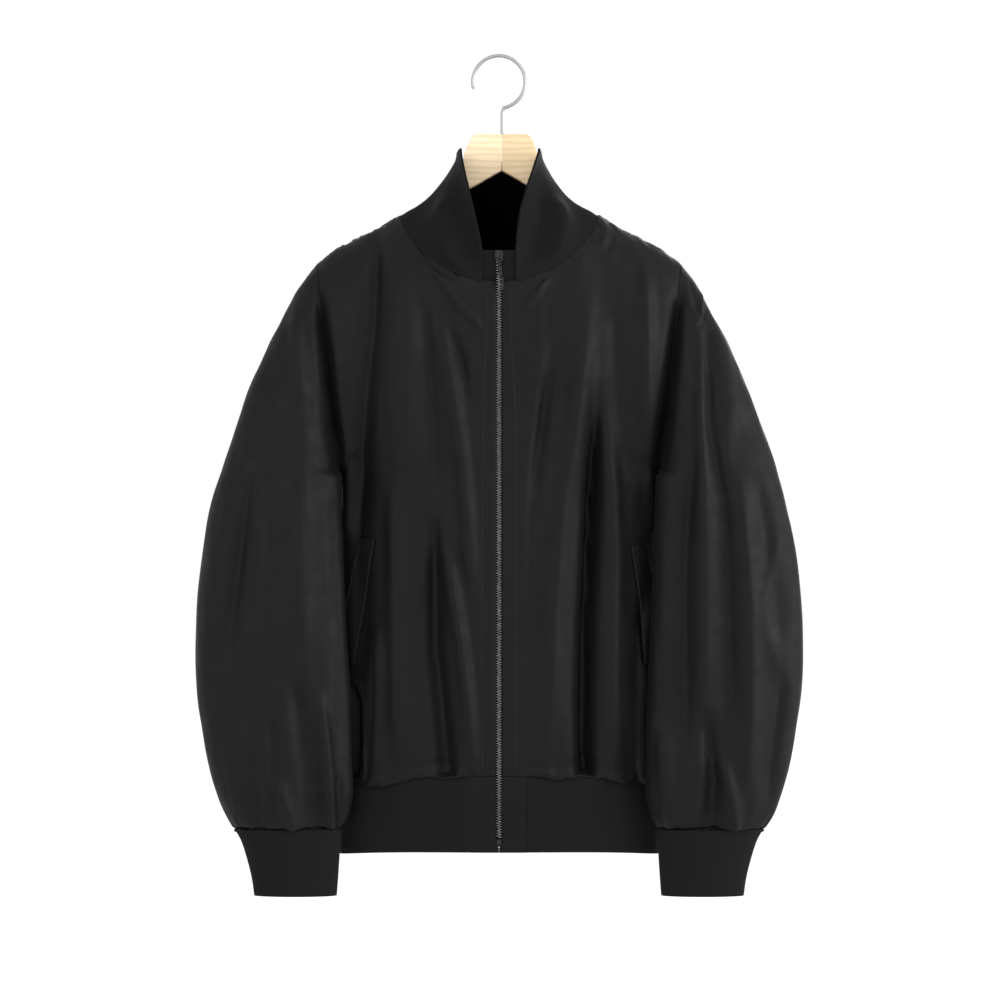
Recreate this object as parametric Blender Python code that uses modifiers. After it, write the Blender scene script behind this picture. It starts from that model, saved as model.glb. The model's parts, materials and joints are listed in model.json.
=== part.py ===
"""A zip-front track jacket hung on a wooden hanger.

Units are metres, +Z is up and the front faces -Y. The origin is the point under the crown of the
hanger's hook, where a rail holds it. Left (-X) and right (+X) are as seen from the front.

Every cloth piece is an open sheet, bent to its place by a function of two running numbers between 0
and 1, and thickened into a wall. Tables below are in millimetres, and MM turns them into metres.
"""

import math
from collections import namedtuple

import bmesh
import bpy
from mathutils import Matrix, Vector

MM = 0.001
WELD = 0.00002              # points this near each other are one point

# ---------------------------------------------------------------- driving sizes, in millimetres
CLOTH_WALL = 1.6            # woven shell
RIB_WALL = 2.4              # knitted collar, cuffs and hem
SEAM_TRIM = 0.9             # each piece stops this far from its seam line
CLEAR = 0.3                 # air between pieces that touch
REST_GAP = 5.0              # air between a sleeve and the body's side
FREE_HEIGHT = 50.0          # a sleeve's seam meets the panel's edge this far above the underarm
PANEL_REACH = 170.0         # from the middle of a panel to its side
ROUND_REACH = 50.0          # the same, as the panel's numbers run where it rounds into its side
UPPER_REACH = 250.0         # from the underarm up to the shoulder seam

NECK_HALF = 104.0           # half the width of the neck, at the shoulder seams
NECK_Z = -166.0             # height of the shoulder seam at the neck
NECK_Y = -1.0
FRONT_NECK_Z = -240.0       # lowest point of the neckline, at the zip
FRONT_NECK_Y = -60.0
BACK_NECK_Z = -188.0
BACK_NECK_Y = 46.0
ARMHOLE_Z = -436.0          # underarm
MIDDLE_Z = -385.0           # height on the middle line that is level with the underarm's row
HEM_SEAM_Z = -757.0
HEM_HEIGHT = 80.0
HEM_TAB_WIDTH = 26.0        # plain end of the hem band beside the zip

NECK_STEPS = 6              # shared points along half of the front or back neckline
ARM_STEPS = 12              # shared points along half of an armhole
FRONT_NECK_START = 0.019    # turn of the neckline where the front's edge meets it
COLLAR_START = 0.118        # turn of the neckline where the collar's free edge stands
LOWER_ROWS = (0.0, 0.05, 0.15, 0.32, 0.55, 0.77, 0.92)

ZIP_EDGE = 3.4              # the fronts stop this far from the middle
ZIP_TOP_Z = -207.0
ZIP_FOOT_Z = -823.0
TAPE_WIDTH = 14.0
TAPE_WALL = 0.8
CHAIN_WIDTH = 5.6
CHAIN_WALL = 2.4
ZIP_DEPTH = 2.3             # the zip's middle plane lies this far behind the fronts' middle
BOX_HEIGHT = 6.0
BOX_WALL = 3.0
SLIDER_Z = -213.5           # middle of the slider
SLIDER_X = 0.0
PLATE_WALL = 1.0
PLATE_GAP = 1.55            # half the space between the slider's plates
PIN_OUT = 1.85              # the pull's bar stands this far out of the front plate
PULL_WALL = 1.2
PULL_DRIFT = 3.6            # how far the pull's end hangs to the right

HOOK_RADIUS = 27.7          # of the wire's middle line
HOOK_WIRE = 1.9             # radius of the wire
HANGER_X = 3.0              # the hook stands this far off the middle of its own crown
HOOK_START = -79.5          # degrees round the crown's middle, where the stem joins
HOOK_END = 196.0
STEM_X = 3.5
HANGER_THICK = 12.0

# ---------------------------------------------------------------- tables, in millimetres
# Sections of the body below the armholes: half its width, and how far the front, the back and the
# side seam stand from the hook's plane.
Level = namedtuple("Level", "z half front back side")
BODY = (
    Level(-757, 168, -45, 34, 12),
    Level(-735, 174, -50, 41, 15),
    Level(-690, 178, -53, 45, 17),
    Level(-600, 178, -53, 46, 17),
    Level(-520, 175, -53, 46, 15),
    Level(-485, 171.5, -53, 46, 12),
    Level(-460, 168.5, -53.5, 46, 6),
    Level(-436, 168, -54, 46, -4),
    Level(-330, 168, -56, 48, -4),
    Level(-240, 168, -60, 48, -4),
)

# Rings of a sleeve, from the armhole to the cuff. Each ring runs from an outer point to an inner
# point in the front view; front and back are its half depths, and mid is where its middle stands.
Ring = namedtuple("Ring", "out_x out_z in_x in_z front back mid")
SLEEVE = (
    Ring(192, -229, 168, -436, 37, 39, -4),
    Ring(211, -250, 168.5, -442, 38, 37, -9),
    Ring(229, -281, 168, -449, 39, 35, -14),
    Ring(247, -315, 167.5, -457, 40, 34, -18),
    Ring(263, -353, 167, -467, 40, 33, -21),
    Ring(278, -397, 166.5, -479, 40, 33, -23),
    Ring(291, -438, 165.5, -495, 40, 33, -25),
    Ring(303, -480, 164.5, -515, 40, 33, -26),
    Ring(311, -521, 163.5, -541, 40, 33, -27),
    Ring(316.5, -567, 162.5, -575, 40, 33, -27),
    Ring(318.5, -618, 160.5, -618, 40, 33, -28),
    Ring(317, -666, 158, -666, 39, 32, -28),
    Ring(311, -709, 157, -709, 38, 31, -28),
    Ring(303, -750, 156, -748, 37, 30, -28),
    Ring(293, -785, 156, -780, 34, 28, -28),
    Ring(284, -804, 160, -802, 29, 25, -28),
    Ring(278, -813, 166, -812, 25, 22, -28),
)

# Rings of a rib cuff, from the seam down.
CUFF = (
    Ring(276.5, -813, 167, -813, 24, 21, -28),
    Ring(269, -826, 168, -826, 23, 20, -28),
    Ring(262, -848, 169.5, -848, 21, 18, -28),
    Ring(258, -866, 170.5, -866, 20, 17, -28),
    Ring(256, -883, 171.5, -883, 19, 16, -28),
)

# The crown of the neck and shoulders: how far cloth at a distance from the middle rises above a
# straight shoulder seam, whose height there is z, and how far down that fades out.
Crown = namedtuple("Crown", "x z rise reach")
CROWN = (
    Crown(46, -108, 0.0, 40),
    Crown(58, -122, -4.0, 40),
    Crown(72, -136, -7.0, 42),
    Crown(86, -149, -6.0, 46),
    Crown(100, -160, -2.0, 52),
    Crown(115, -171, 0.8, 70),
    Crown(130, -182, 2.2, 90),
    Crown(145, -193, 5.8, 110),
    Crown(160, -204, 9.0, 120),
    Crown(173, -213, 11.0, 120),
    Crown(184, -221, 10.8, 120),
    Crown(196, -232, 8.5, 120),
    Crown(208, -245, 4.5, 110),
    Crown(222, -265, 1.0, 100),
    Crown(234, -287, 0.0, 100),
)
CROWN_LEVEL = 8.0           # the rise is whole this near the seam's height

# The collar's free front edges: distance from the middle, at each height.
Edge = namedtuple("Edge", "z left right")
COLLAR_EDGE = (
    Edge(-240, 17.5, 17.5),
    Edge(-206, 18, 17.5),
    Edge(-168, 26, 22),
    Edge(-137, 33, 30.5),
    Edge(-115, 38, 38),
    Edge(-101, 40, 42),
)
COLLAR_TOP_HALF = 43.5      # half width of the collar's top
COLLAR_TOP_TURN = 72.0      # degrees round the top, from the back, where the free edges stand
COLLAR_TOP_FRONT = -60.0
COLLAR_TOP_SIDE = 0.0
COLLAR_TOP_BACK = 42.0
COLLAR_TOP_Z = -101.0
COLLAR_SIDE_Z = -104.0
COLLAR_BACK_Z = -107.0

# Outline of a hanger arm, from the middle joint out to its tip, and how far it sweeps forward.
Arm = namedtuple("Arm", "x top bottom y")
HANGER = (
    Arm(0.85, -81.0, -120.0, 4.5),
    Arm(14, -81.0, -128.0, 3.1),
    Arm(26, -81.4, -135.0, 1.9),
    Arm(30.5, -83.5, -137.5, 1.5),
    Arm(33, -89.0, -139.0, 1.3),
    Arm(36, -99.5, -141.0, 1.1),
    Arm(38, -108.5, -143.0, 0.9),
    Arm(42, -121.0, -147.0, 0.6),
    Arm(54, -142.0, -157.5, 0.0),
    Arm(72, -161.5, -173.0, -0.8),
    Arm(98, -178.0, -192.0, -1.6),
    Arm(130, -197.0, -213.0, -2.8),
    Arm(160, -217.0, -234.0, -3.8),
    Arm(172, -227.0, -241.0, -4.2),
    Arm(177, -233.0, -240.0, -4.4),
)

# The largest folds, each along a line in the front or back view. bow bends the line sideways,
# reach is half the fold's width, and height is positive for a ridge and negative for a trough.
Fold = namedtuple("Fold", "x0 z0 x1 z1 bow reach height")
FRONT_FOLDS = (
    # left front
    Fold(-127, -200, -152, -455, 4, 10, -5.0),
    Fold(-103, -225, -107, -440, 0, 15, 4.0),
    Fold(-86, -235, -14, -440, 10, 9, -4.5),
    Fold(-71, -535, -54, -735, 6, 10, -6.5),
    Fold(-56, -540, -24, -735, 4, 11, 4.5),
    Fold(-106, -470, -104, -735, 0, 14, 6.0),
    Fold(-145, -650, -147, -740, 0, 10, -6.0),
    # right front
    Fold(64, -310, 20, -740, 10, 10, -5.0),
    Fold(90, -290, 49, -735, 7, 12, 6.0),
    Fold(95, -430, 92, -740, 6, 9, -8.0),
    Fold(116, -450, 117, -738, 0, 12, 6.5),
    Fold(117, -290, 131, -415, 0, 9, -4.0),
    Fold(150, -262, 154, -400, 0, 10, 3.5),
    Fold(146, -500, 148, -735, 0, 9, -5.0),
)
BACK_FOLDS = (
    Fold(-120, -230, -140, -500, 5, 14, -5.0),
    Fold(-95, -260, -100, -600, 0, 16, 5.0),
    Fold(-62, -470, -48, -740, 6, 12, -6.0),
    Fold(-20, -330, -26, -735, 5, 16, 5.0),
    Fold(22, -420, 14, -738, -6, 12, -5.5),
    Fold(58, -300, 66, -700, 5, 16, 5.0),
    Fold(96, -430, 90, -740, 0, 11, -6.5),
    Fold(128, -240, 138, -640, 6, 14, 4.5),
    Fold(-132, -560, -128, -738, 0, 12, 5.0),
)
SLEEVE_FOLDS = (
    # left sleeve
    Fold(-212, -285, -222, -352, 0, 9, -6.0),
    Fold(-235, -330, -268, -500, 6, 12, 6.0),
    Fold(-272, -525, -288, -630, 0, 12, 6.0),
    Fold(-200, -470, -214, -640, -6, 13, -7.5),
    Fold(-186, -560, -180, -730, 0, 10, 6.0),
    Fold(-214, -660, -194, -785, 0, 11, 7.5),
    Fold(-246, -640, -232, -790, 5, 11, -7.5),
    Fold(-272, -680, -262, -790, 0, 9, 6.0),
    # right sleeve
    Fold(213, -275, 213, -470, 0, 8, -7.5),
    Fold(236, -330, 244, -560, 0, 12, 6.5),
    Fold(268, -500, 290, -660, -6, 11, -7.5),
    Fold(196, -480, 202, -700, 0, 11, -6.5),
    Fold(178, -500, 178, -720, 0, 9, 6.0),
    Fold(226, -640, 214, -790, 0, 12, 7.5),
    Fold(256, -620, 244, -790, 5, 10, -7.5),
    Fold(284, -690, 272, -790, 0, 9, 6.0),
)

# Dips of the hem seam below its level line.
Dip = namedtuple("Dip", "x width depth")
HEM_DIPS = (Dip(-127, 26, 9), Dip(148, 26, 9))

# A pocket welt runs down one front: the middle of its upper and lower ends.
Welt = namedtuple("Welt", "x0 z0 x1 z1 width")
WELT_LEFT = Welt(-137.5, -511, -160, -640, 19)
WELT_RIGHT = Welt(145, -515, 163, -640, 19)
WELT_WALL = 1.2

# ---------------------------------------------------------------- colours
Finish = namedtuple("Finish", "colour roughness metallic")
NYLON = Finish((0.018, 0.018, 0.021), 0.42, 0.0)
RIB = Finish((0.016, 0.016, 0.018), 0.85, 0.0)
TAPE = Finish((0.012, 0.012, 0.013), 0.8, 0.0)
ZIP_METAL = Finish((0.17, 0.17, 0.165), 0.35, 1.0)
STEEL = Finish((0.62, 0.62, 0.62), 0.22, 1.0)
WOOD = Finish((0.62, 0.47, 0.33), 0.5, 0.0)


# ---------------------------------------------------------------- small helpers
def mix(a, b, part):
    """Read the value a given part of the way from a to b."""
    return a + (b - a) * part


def smooth(low, high, value):
    """Rise smoothly from 0 at low to 1 at high."""
    part = min(max((value - low) / (high - low), 0.0), 1.0)
    return part * part * (3.0 - 2.0 * part)


def hermite(a, b, slope_a, slope_b, part):
    """Join two values with given slopes, both measured per whole step."""
    square = part * part
    cube = square * part
    return (a * (2 * cube - 3 * square + 1) + slope_a * (cube - 2 * square + part)
            + b * (3 * square - 2 * cube) + slope_b * (cube - square))


def read_at(values, place):
    """Read a row of evenly numbered values smoothly at a place between them."""
    last = len(values) - 1
    place = min(max(place, 0.0), float(last))
    index = min(int(place), last - 1)
    before = values[max(index - 1, 0)]
    after = values[min(index + 2, last)]
    here, there = values[index], values[index + 1]
    return hermite(here, there, (there - before) / 2, (after - here) / 2, place - index)


def place_of(keys, value):
    """Find where a value falls among rising keys, as a running row number."""
    if value <= keys[0]:
        return 0.0
    for index in range(len(keys) - 1):
        if value <= keys[index + 1]:
            return index + (value - keys[index]) / (keys[index + 1] - keys[index])
    return float(len(keys) - 1)


def column(table, name):
    """Take one named column of a table."""
    return [getattr(row, name) for row in table]


def body_at(name, z):
    """Read one column of the body table at a height."""
    return read_at(column(BODY, name), place_of(column(BODY, "z"), z))


def fold_height(x, z, folds):
    """Add up the ridges and troughs at a point of the front or back view."""
    total = 0.0
    for fold in folds:
        run_x, run_z = fold.x1 - fold.x0, fold.z1 - fold.z0
        length = math.hypot(run_x, run_z)
        along = ((x - fold.x0) * run_x + (z - fold.z0) * run_z) / length ** 2
        across = ((x - fold.x0) * run_z - (z - fold.z0) * run_x) / length
        inside = min(max(along, 0.0), 1.0)
        across -= fold.bow * 4.0 * inside * (1.0 - inside)
        past = abs(along - inside) * length
        fade = math.exp(-(past / (2.0 * fold.reach)) ** 2)
        total += fold.height * fade * math.exp(-(across / fold.reach) ** 2)
    return total


# ---------------------------------------------------------------- seam lines and surfaces
def hem_seam_z(x):
    """Height of the hem seam, which dips a little on each side."""
    return HEM_SEAM_Z - sum(dip.depth * math.exp(-((x - dip.x) / dip.width) ** 2) for dip in HEM_DIPS)


def neckline(turn, front, grow=0.0):
    """Point of the neckline's right half. turn is 0 at the middle and 1 at the shoulder seam, and
    grow widens the line."""
    angle = turn * math.pi / 2
    middle_y = FRONT_NECK_Y if front else BACK_NECK_Y
    middle_z = FRONT_NECK_Z if front else BACK_NECK_Z
    bend = 1.7 if front else 2.0
    x = (NECK_HALF + grow) * math.sin(angle) ** (2 / bend)
    z = mix(NECK_Z, middle_z - grow, math.cos(angle) ** (2 / bend))
    y = mix(NECK_Y, middle_y, math.cos(angle) ** 0.8)
    return Vector((x, y, z))


def ring_point(table, place, angle):
    """Point of a sleeve or cuff ring on the right. angle is 0 at the outer point, and the front
    comes first."""
    ring = Ring(*(read_at(column(table, name), place) for name in Ring._fields))
    along = (1.0 - math.cos(angle)) / 2.0
    depth = ring.front if math.sin(angle) > 0 else ring.back
    return Vector((mix(ring.out_x, ring.in_x, along),
                   ring.mid - depth * math.sin(angle),
                   mix(ring.out_z, ring.in_z, along)))


def neck_turn(step, front):
    """Turn of a shared point of the neckline, counted from the middle."""
    start = FRONT_NECK_START if front else 0.0
    return mix(start, 1.0, step / NECK_STEPS)


def panel_sheet(front, mirror):
    """Make the surface of one half of the front or back. u runs from the middle to the side. v runs
    from 0 at the hem seam to 1 at the underarm and 2 at the shoulder seam."""
    middle_z = (FRONT_NECK_Z if front else BACK_NECK_Z) - SEAM_TRIM
    start_x = ZIP_EDGE if front else 0.0
    name = "front" if front else "back"

    def inner(v):
        """Middle line, then neckline."""
        if v > 1.5:
            return neckline(neck_turn((v - 1.5) * 2 * NECK_STEPS, front), front, SEAM_TRIM)
        z = mix(HEM_SEAM_Z, MIDDLE_Z, v) if v < 1.0 else mix(MIDDLE_Z, middle_z, 2 * (v - 1.0))
        end_y = neckline(neck_turn(0, front), front, SEAM_TRIM).y
        y = mix(body_at(name, z), end_y, smooth(1.0, 1.5, v))
        return Vector((start_x, y, z))

    def outer(v):
        """Side seam, then armhole."""
        if v <= 1.0:
            z = mix(HEM_SEAM_Z, ARMHOLE_Z, v)
            return Vector((body_at("half", z), body_at("side", z), z))
        angle = math.pi * (2.0 - v)
        return ring_point(SLEEVE, 0.0, angle if front else -angle)

    def sheet(u, v):
        """Point of the panel."""
        start, stop = inner(v), outer(v)
        rounded = 1.0 - smooth(1.05, 1.40, v)
        u *= 1.0 - mix(SEAM_TRIM / PANEL_REACH, SEAM_TRIM / ROUND_REACH, rounded)
        across = mix(u, math.sin(u * math.pi / 2), rounded)
        depth = mix(1.0 - u * u, math.cos(u * math.pi / 2), rounded)
        x = mix(start.x, stop.x, across)
        z = mix(start.z, stop.z, across)
        y = mix(stop.y, start.y, depth)
        z += (hem_seam_z(mirror * x) - HEM_SEAM_Z) * (1.0 - smooth(0.0, 0.2, v))
        calm = smooth(0.09, 0.2, u) if front else 1.0
        calm *= (1.0 - smooth(0.86, 1.0, u)) * smooth(0.0, 0.1, v) * (1.0 - smooth(1.75, 2.0, v))
        rise = calm * fold_height(mirror * x, z, FRONT_FOLDS if front else BACK_FOLDS)
        y += -rise if front else rise
        return Vector((mirror * x, y, z))

    return sheet


def clear_of_body(point, gap):
    """Move a point of a sleeve outward, where it would come nearer to the body's side than a gap."""
    if point.z > ARMHOLE_Z:
        high, low = SLEEVE[0].out_z, SLEEVE[0].in_z
        edge = mix(SLEEVE[0].in_x, SLEEVE[0].out_x, (point.z - low) / (high - low))
        edge += gap * (1.0 - smooth(ARMHOLE_Z, ARMHOLE_Z + FREE_HEIGHT, point.z))
        return Vector((math.copysign(max(abs(point.x), edge), point.x), point.y, point.z))
    side = body_at("side", point.z)
    reach = side - body_at("front", point.z) if point.y < side else body_at("back", point.z) - side
    across = point.x / (body_at("half", point.z) + gap)
    depth = (point.y - side) / (reach + gap)
    push = max(1.0 / math.hypot(across, depth), 1.0)
    return Vector((point.x * push, side + (point.y - side) * push, point.z))


def sleeve_sheet(mirror):
    """Make a sleeve's surface. u runs round from the outer fold, front first, and v runs down."""
    last = len(SLEEVE) - 1

    def sheet(u, v):
        """Point of the sleeve."""
        angle = u * math.tau
        first_step = (ring_point(SLEEVE, 1.0, angle) - ring_point(SLEEVE, 0.0, angle)).length
        trim = SEAM_TRIM * (1.0 + 1.2 * max(-math.cos(angle), 0.0))
        point = ring_point(SLEEVE, mix(trim / first_step, last - 0.02, v), angle)
        point.x *= mirror
        facing = max(math.sin(angle), 0.0) + 0.6 * max(-math.sin(angle), 0.0)
        calm = smooth(0.0, 0.12, v) * (1.0 - smooth(0.95, 1.0, v))
        rise = calm * facing * fold_height(point.x, point.z, SLEEVE_FOLDS)
        point.y -= rise if math.sin(angle) > 0 else -rise
        return clear_of_body(point, mix(CLOTH_WALL + 2 * CLEAR, REST_GAP, smooth(0.0, 0.15, v)))

    return sheet


def cuff_sheet(mirror):
    """Make a cuff's surface. u runs round from the outer fold, front first, and v runs down."""
    last = len(CUFF) - 1

    def sheet(u, v):
        """Point of the cuff."""
        point = ring_point(CUFF, v * last, u * math.tau)
        point.x *= mirror
        return point

    return sheet


def hem_point(u, v, start_x):
    """Point of the hem band. u runs round from the front's left end past the back, v runs up."""
    half = body_at("half", HEM_SEAM_Z)
    start = math.asin(start_x / half)
    angle = mix(start, math.tau - start, u)
    front, back = body_at("front", HEM_SEAM_Z), body_at("back", HEM_SEAM_Z)
    side = body_at("side", HEM_SEAM_Z)
    reach = side - front if math.cos(angle) > 0 else back - side
    x = -half * math.sin(angle)
    y = side - reach * math.cos(angle)
    y = mix(y * 0.94, y, v)
    low = HEM_SEAM_Z - HEM_HEIGHT - 5.0 * (x / half) ** 4
    return Vector((x, y, mix(low, hem_seam_z(x) - SEAM_TRIM, v)))


def collar_sheet():
    """Make the collar's surface. u runs round from the left front edge past the back to the right
    one, and v runs up."""
    edge_z = column(COLLAR_EDGE, "z")
    first = neckline(COLLAR_START, True)

    def sheet(u, v):
        """Point of the collar."""
        mirror = -1.0 if u < 0.5 else 1.0
        step = min(u, 1.0 - u) * 4 * NECK_STEPS
        if step < NECK_STEPS:
            part = step / NECK_STEPS
            turn = max(neck_turn(step, True), mix(COLLAR_START, neck_turn(1, True), min(step, 1.0)))
            base = neckline(turn, True)
            angle = math.radians(mix(COLLAR_TOP_TURN, 90.0, part))
            top = Vector((COLLAR_TOP_HALF * math.sin(angle), mix(COLLAR_TOP_FRONT, COLLAR_TOP_SIDE, part),
                          mix(COLLAR_TOP_Z, COLLAR_SIDE_Z, smooth(0.1, 1.0, part))))
        else:
            part = step / NECK_STEPS - 1.0
            base = neckline(neck_turn(NECK_STEPS - part * NECK_STEPS, False), False)
            angle = part * math.pi / 2
            top = Vector((COLLAR_TOP_HALF * math.cos(angle) ** 0.8,
                          mix(COLLAR_TOP_SIDE, COLLAR_TOP_BACK, math.sin(angle) ** 0.8),
                          mix(COLLAR_SIDE_Z, COLLAR_BACK_Z, part)))
        base.z += SEAM_TRIM
        fall = (1.0 - v) ** 1.4
        point = Vector((mix(top.x, base.x, fall), mix(top.y, base.y, fall), mix(base.z, top.z, v)))
        name = "left" if mirror < 0 else "right"
        edge = read_at(column(COLLAR_EDGE, name), place_of(edge_z, mix(FRONT_NECK_Z, COLLAR_TOP_Z, v)))
        drift = edge - mix(COLLAR_TOP_HALF * math.sin(math.radians(COLLAR_TOP_TURN)), first.x, fall)
        point.x += drift * (1.0 - smooth(0.0, 4.0, step))
        point.x *= mirror
        return point

    return sheet


# ---------------------------------------------------------------- building
def make_material(name, finish):
    """Make a Principled material."""
    material = bpy.data.materials.new(name)
    material.use_nodes = True
    shader = material.node_tree.nodes["Principled BSDF"]
    shader.inputs["Base Color"].default_value = (*finish.colour, 1.0)
    shader.inputs["Roughness"].default_value = finish.roughness
    shader.inputs["Metallic"].default_value = finish.metallic
    return material


def place_object(name, data, finish, collection):
    """Put a mesh or curve in the collection under its own name and material."""
    data.materials.append(make_material(name, finish))
    item = bpy.data.objects.new(name, data)
    collection.objects.link(item)
    return item


def add_wall(item, wall, offset=0.0):
    """Thicken an open sheet into a wall."""
    solidify = item.modifiers.new("Wall", "SOLIDIFY")
    solidify.thickness = wall * MM
    solidify.offset = offset
    solidify.use_even_offset = True
    return item


def crowned(point):
    """Move a point up or down by the crown of the neck and shoulders."""
    place = place_of(column(CROWN, "x"), abs(point.x))
    level, rise, reach = (read_at(column(CROWN, name), place) for name in ("z", "rise", "reach"))
    part = smooth(level - reach, level - CROWN_LEVEL, point.z)
    return Vector((point.x, point.y, point.z + rise * part))


def sheet_mesh(name, sheet, across, up, outward=True):
    """Bend a flat grid to a surface, and weld the points that meet. across and up are the running
    numbers of the grid's columns and rows."""
    work = bmesh.new()
    columns, rows = len(across) - 1, len(up) - 1
    bmesh.ops.create_grid(work, x_segments=columns, y_segments=rows, size=0.5)
    for vertex in work.verts:
        u = across[round((vertex.co.x + 0.5) * columns)]
        v = up[round((vertex.co.y + 0.5) * rows)]
        vertex.co = crowned(sheet(u, v)) * MM
    bmesh.ops.remove_doubles(work, verts=work.verts, dist=WELD)
    if not outward:
        bmesh.ops.reverse_faces(work, faces=work.faces)
    mesh = bpy.data.meshes.new(name)
    work.to_mesh(mesh)
    work.free()
    mesh.shade_smooth()
    return mesh


def even(count, low=0.0, high=1.0):
    """Running numbers of evenly spaced rows."""
    return [mix(low, high, step / count) for step in range(count + 1)]


def panel_rows():
    """Running numbers of a panel's rows, trimmed at the hem and shoulder seams."""
    rows = list(LOWER_ROWS) + [1.0 + step / ARM_STEPS for step in range(ARM_STEPS + 1)]
    rows[0] = SEAM_TRIM / (ARMHOLE_Z - HEM_SEAM_Z)
    rows[-1] = 2.0 - 1.3 * SEAM_TRIM / UPPER_REACH
    return rows


def make_fronts(collection):
    """Make the two front panels."""
    for name, mirror in (("front_left", -1.0), ("front_right", 1.0)):
        mesh = sheet_mesh(name, panel_sheet(True, mirror), even(18), panel_rows(), mirror > 0)
        add_wall(place_object(name, mesh, NYLON, collection), CLOTH_WALL)


def make_back(collection):
    """Make the back panel, its two halves welded down the middle."""
    halves = [panel_sheet(False, mirror) for mirror in (-1.0, 1.0)]
    work = bmesh.new()
    for sheet, outward in zip(halves, (False, True)):
        mesh = sheet_mesh("half", sheet, even(10), panel_rows(), not outward)
        work.from_mesh(mesh)
        bpy.data.meshes.remove(mesh)
    bmesh.ops.remove_doubles(work, verts=work.verts, dist=WELD)
    mesh = bpy.data.meshes.new("back")
    work.to_mesh(mesh)
    work.free()
    mesh.shade_smooth()
    add_wall(place_object("back", mesh, NYLON, collection), CLOTH_WALL)


def make_sleeves(collection):
    """Make the two sleeves and their cuffs."""
    for side, mirror in (("left", -1.0), ("right", 1.0)):
        name = "sleeve_" + side
        mesh = sheet_mesh(name, sleeve_sheet(mirror), even(2 * ARM_STEPS), even(15), mirror < 0)
        add_wall(place_object(name, mesh, NYLON, collection), CLOTH_WALL)
        name = "cuff_" + side
        mesh = sheet_mesh(name, cuff_sheet(mirror), even(2 * ARM_STEPS), even(3, 0.01), mirror < 0)
        add_wall(place_object(name, mesh, RIB, collection), RIB_WALL)


def make_hem(collection):
    """Make the rib hem band and its two plain ends by the zip."""
    tab_end = ZIP_EDGE + HEM_TAB_WIDTH

    def band(u, v):
        """Point of the rib."""
        return hem_point(u, v, tab_end + CLEAR)

    mesh = sheet_mesh("hem_rib", band, even(36), even(2), False)
    add_wall(place_object("hem_rib", mesh, RIB, collection), RIB_WALL)
    for name, mirror in (("hem_tab_left", -1.0), ("hem_tab_right", 1.0)):
        def tab(u, v, end=max(mirror, 0.0)):
            """Point of a plain end."""
            return hem_point(end, v, mix(ZIP_EDGE, tab_end, u))

        mesh = sheet_mesh(name, tab, even(3), even(2), mirror > 0)
        add_wall(place_object(name, mesh, NYLON, collection), RIB_WALL)


def make_collar(collection):
    """Make the rib stand collar."""
    mesh = sheet_mesh("collar", collar_sheet(), even(4 * NECK_STEPS), even(5), False)
    add_wall(place_object("collar", mesh, RIB, collection), RIB_WALL)


def front_line_y(z):
    """How far forward the zip's line stands at a height."""
    if z < HEM_SEAM_Z:
        return hem_point(0.0, (z - HEM_SEAM_Z + HEM_HEIGHT) / HEM_HEIGHT, ZIP_EDGE).y
    return max(body_at("front", z), FRONT_NECK_Y)


def zip_strip(name, low_x, high_x, low_z, high_z, finish, wall, collection):
    """Make a straight strip behind the front edges, with rows at the fronts' own heights."""
    panel = panel_sheet(True, 1.0)
    heights = [panel(0.0, row).z for row in panel_rows() if row < 1.5]
    heights = [low_z] + [z for z in [HEM_SEAM_Z] + heights if low_z + 1 < z < high_z - 1] + [high_z]

    def strip(u, z):
        """Point of the strip."""
        return Vector((mix(low_x, high_x, u), front_line_y(z) + ZIP_DEPTH, z))

    mesh = sheet_mesh(name, strip, even(1), heights)
    return add_wall(place_object(name, mesh, finish, collection), wall)


def make_zip(collection):
    """Make the zip's tapes, the closed chain and the box at its foot."""
    inner = CHAIN_WIDTH / 2 + CLEAR
    outer = inner + TAPE_WIDTH
    zip_strip("zip_tape_left", -outer, -inner, ZIP_FOOT_Z - 8, ZIP_TOP_Z, TAPE, TAPE_WALL, collection)
    zip_strip("zip_tape_right", inner, outer, ZIP_FOOT_Z - 8, ZIP_TOP_Z, TAPE, TAPE_WALL, collection)
    half = CHAIN_WIDTH / 2
    zip_strip("zip_chain", -half, half, ZIP_FOOT_Z, SLIDER_Z - 1.0, ZIP_METAL, CHAIN_WALL, collection)


def outline_mesh(name, outlines, thick, bevel=0.0):
    """Cut a plate in the front view's plane. outlines are lists of (x, z) in millimetres, the
    outer one first and its holes after it."""
    curve = bpy.data.curves.new(name, "CURVE")
    curve.dimensions = "2D"
    curve.fill_mode = "BOTH"
    curve.extrude = (thick / 2 - bevel) * MM
    curve.bevel_depth = bevel * MM
    curve.bevel_resolution = 0
    for outline in outlines:
        spline = curve.splines.new("POLY")
        spline.points.add(len(outline) - 1)
        spline.use_cyclic_u = True
        for point, (x, z) in zip(spline.points, outline):
            point.co = (x * MM, z * MM, 0.0, 1.0)
    holder = bpy.data.objects.new(name, curve)
    bpy.context.scene.collection.objects.link(holder)
    holder.rotation_euler = (math.pi / 2, 0.0, 0.0)
    bpy.context.view_layer.update()
    ready = holder.evaluated_get(bpy.context.evaluated_depsgraph_get())
    mesh = bpy.data.meshes.new_from_object(ready)
    mesh.transform(holder.matrix_world)
    bpy.data.objects.remove(holder, do_unlink=True)
    bpy.data.curves.remove(curve)
    work = bmesh.new()
    work.from_mesh(mesh)
    bmesh.ops.remove_doubles(work, verts=work.verts, dist=0.000005)
    work.to_mesh(mesh)
    work.free()
    mesh.name = name
    return mesh


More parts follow.
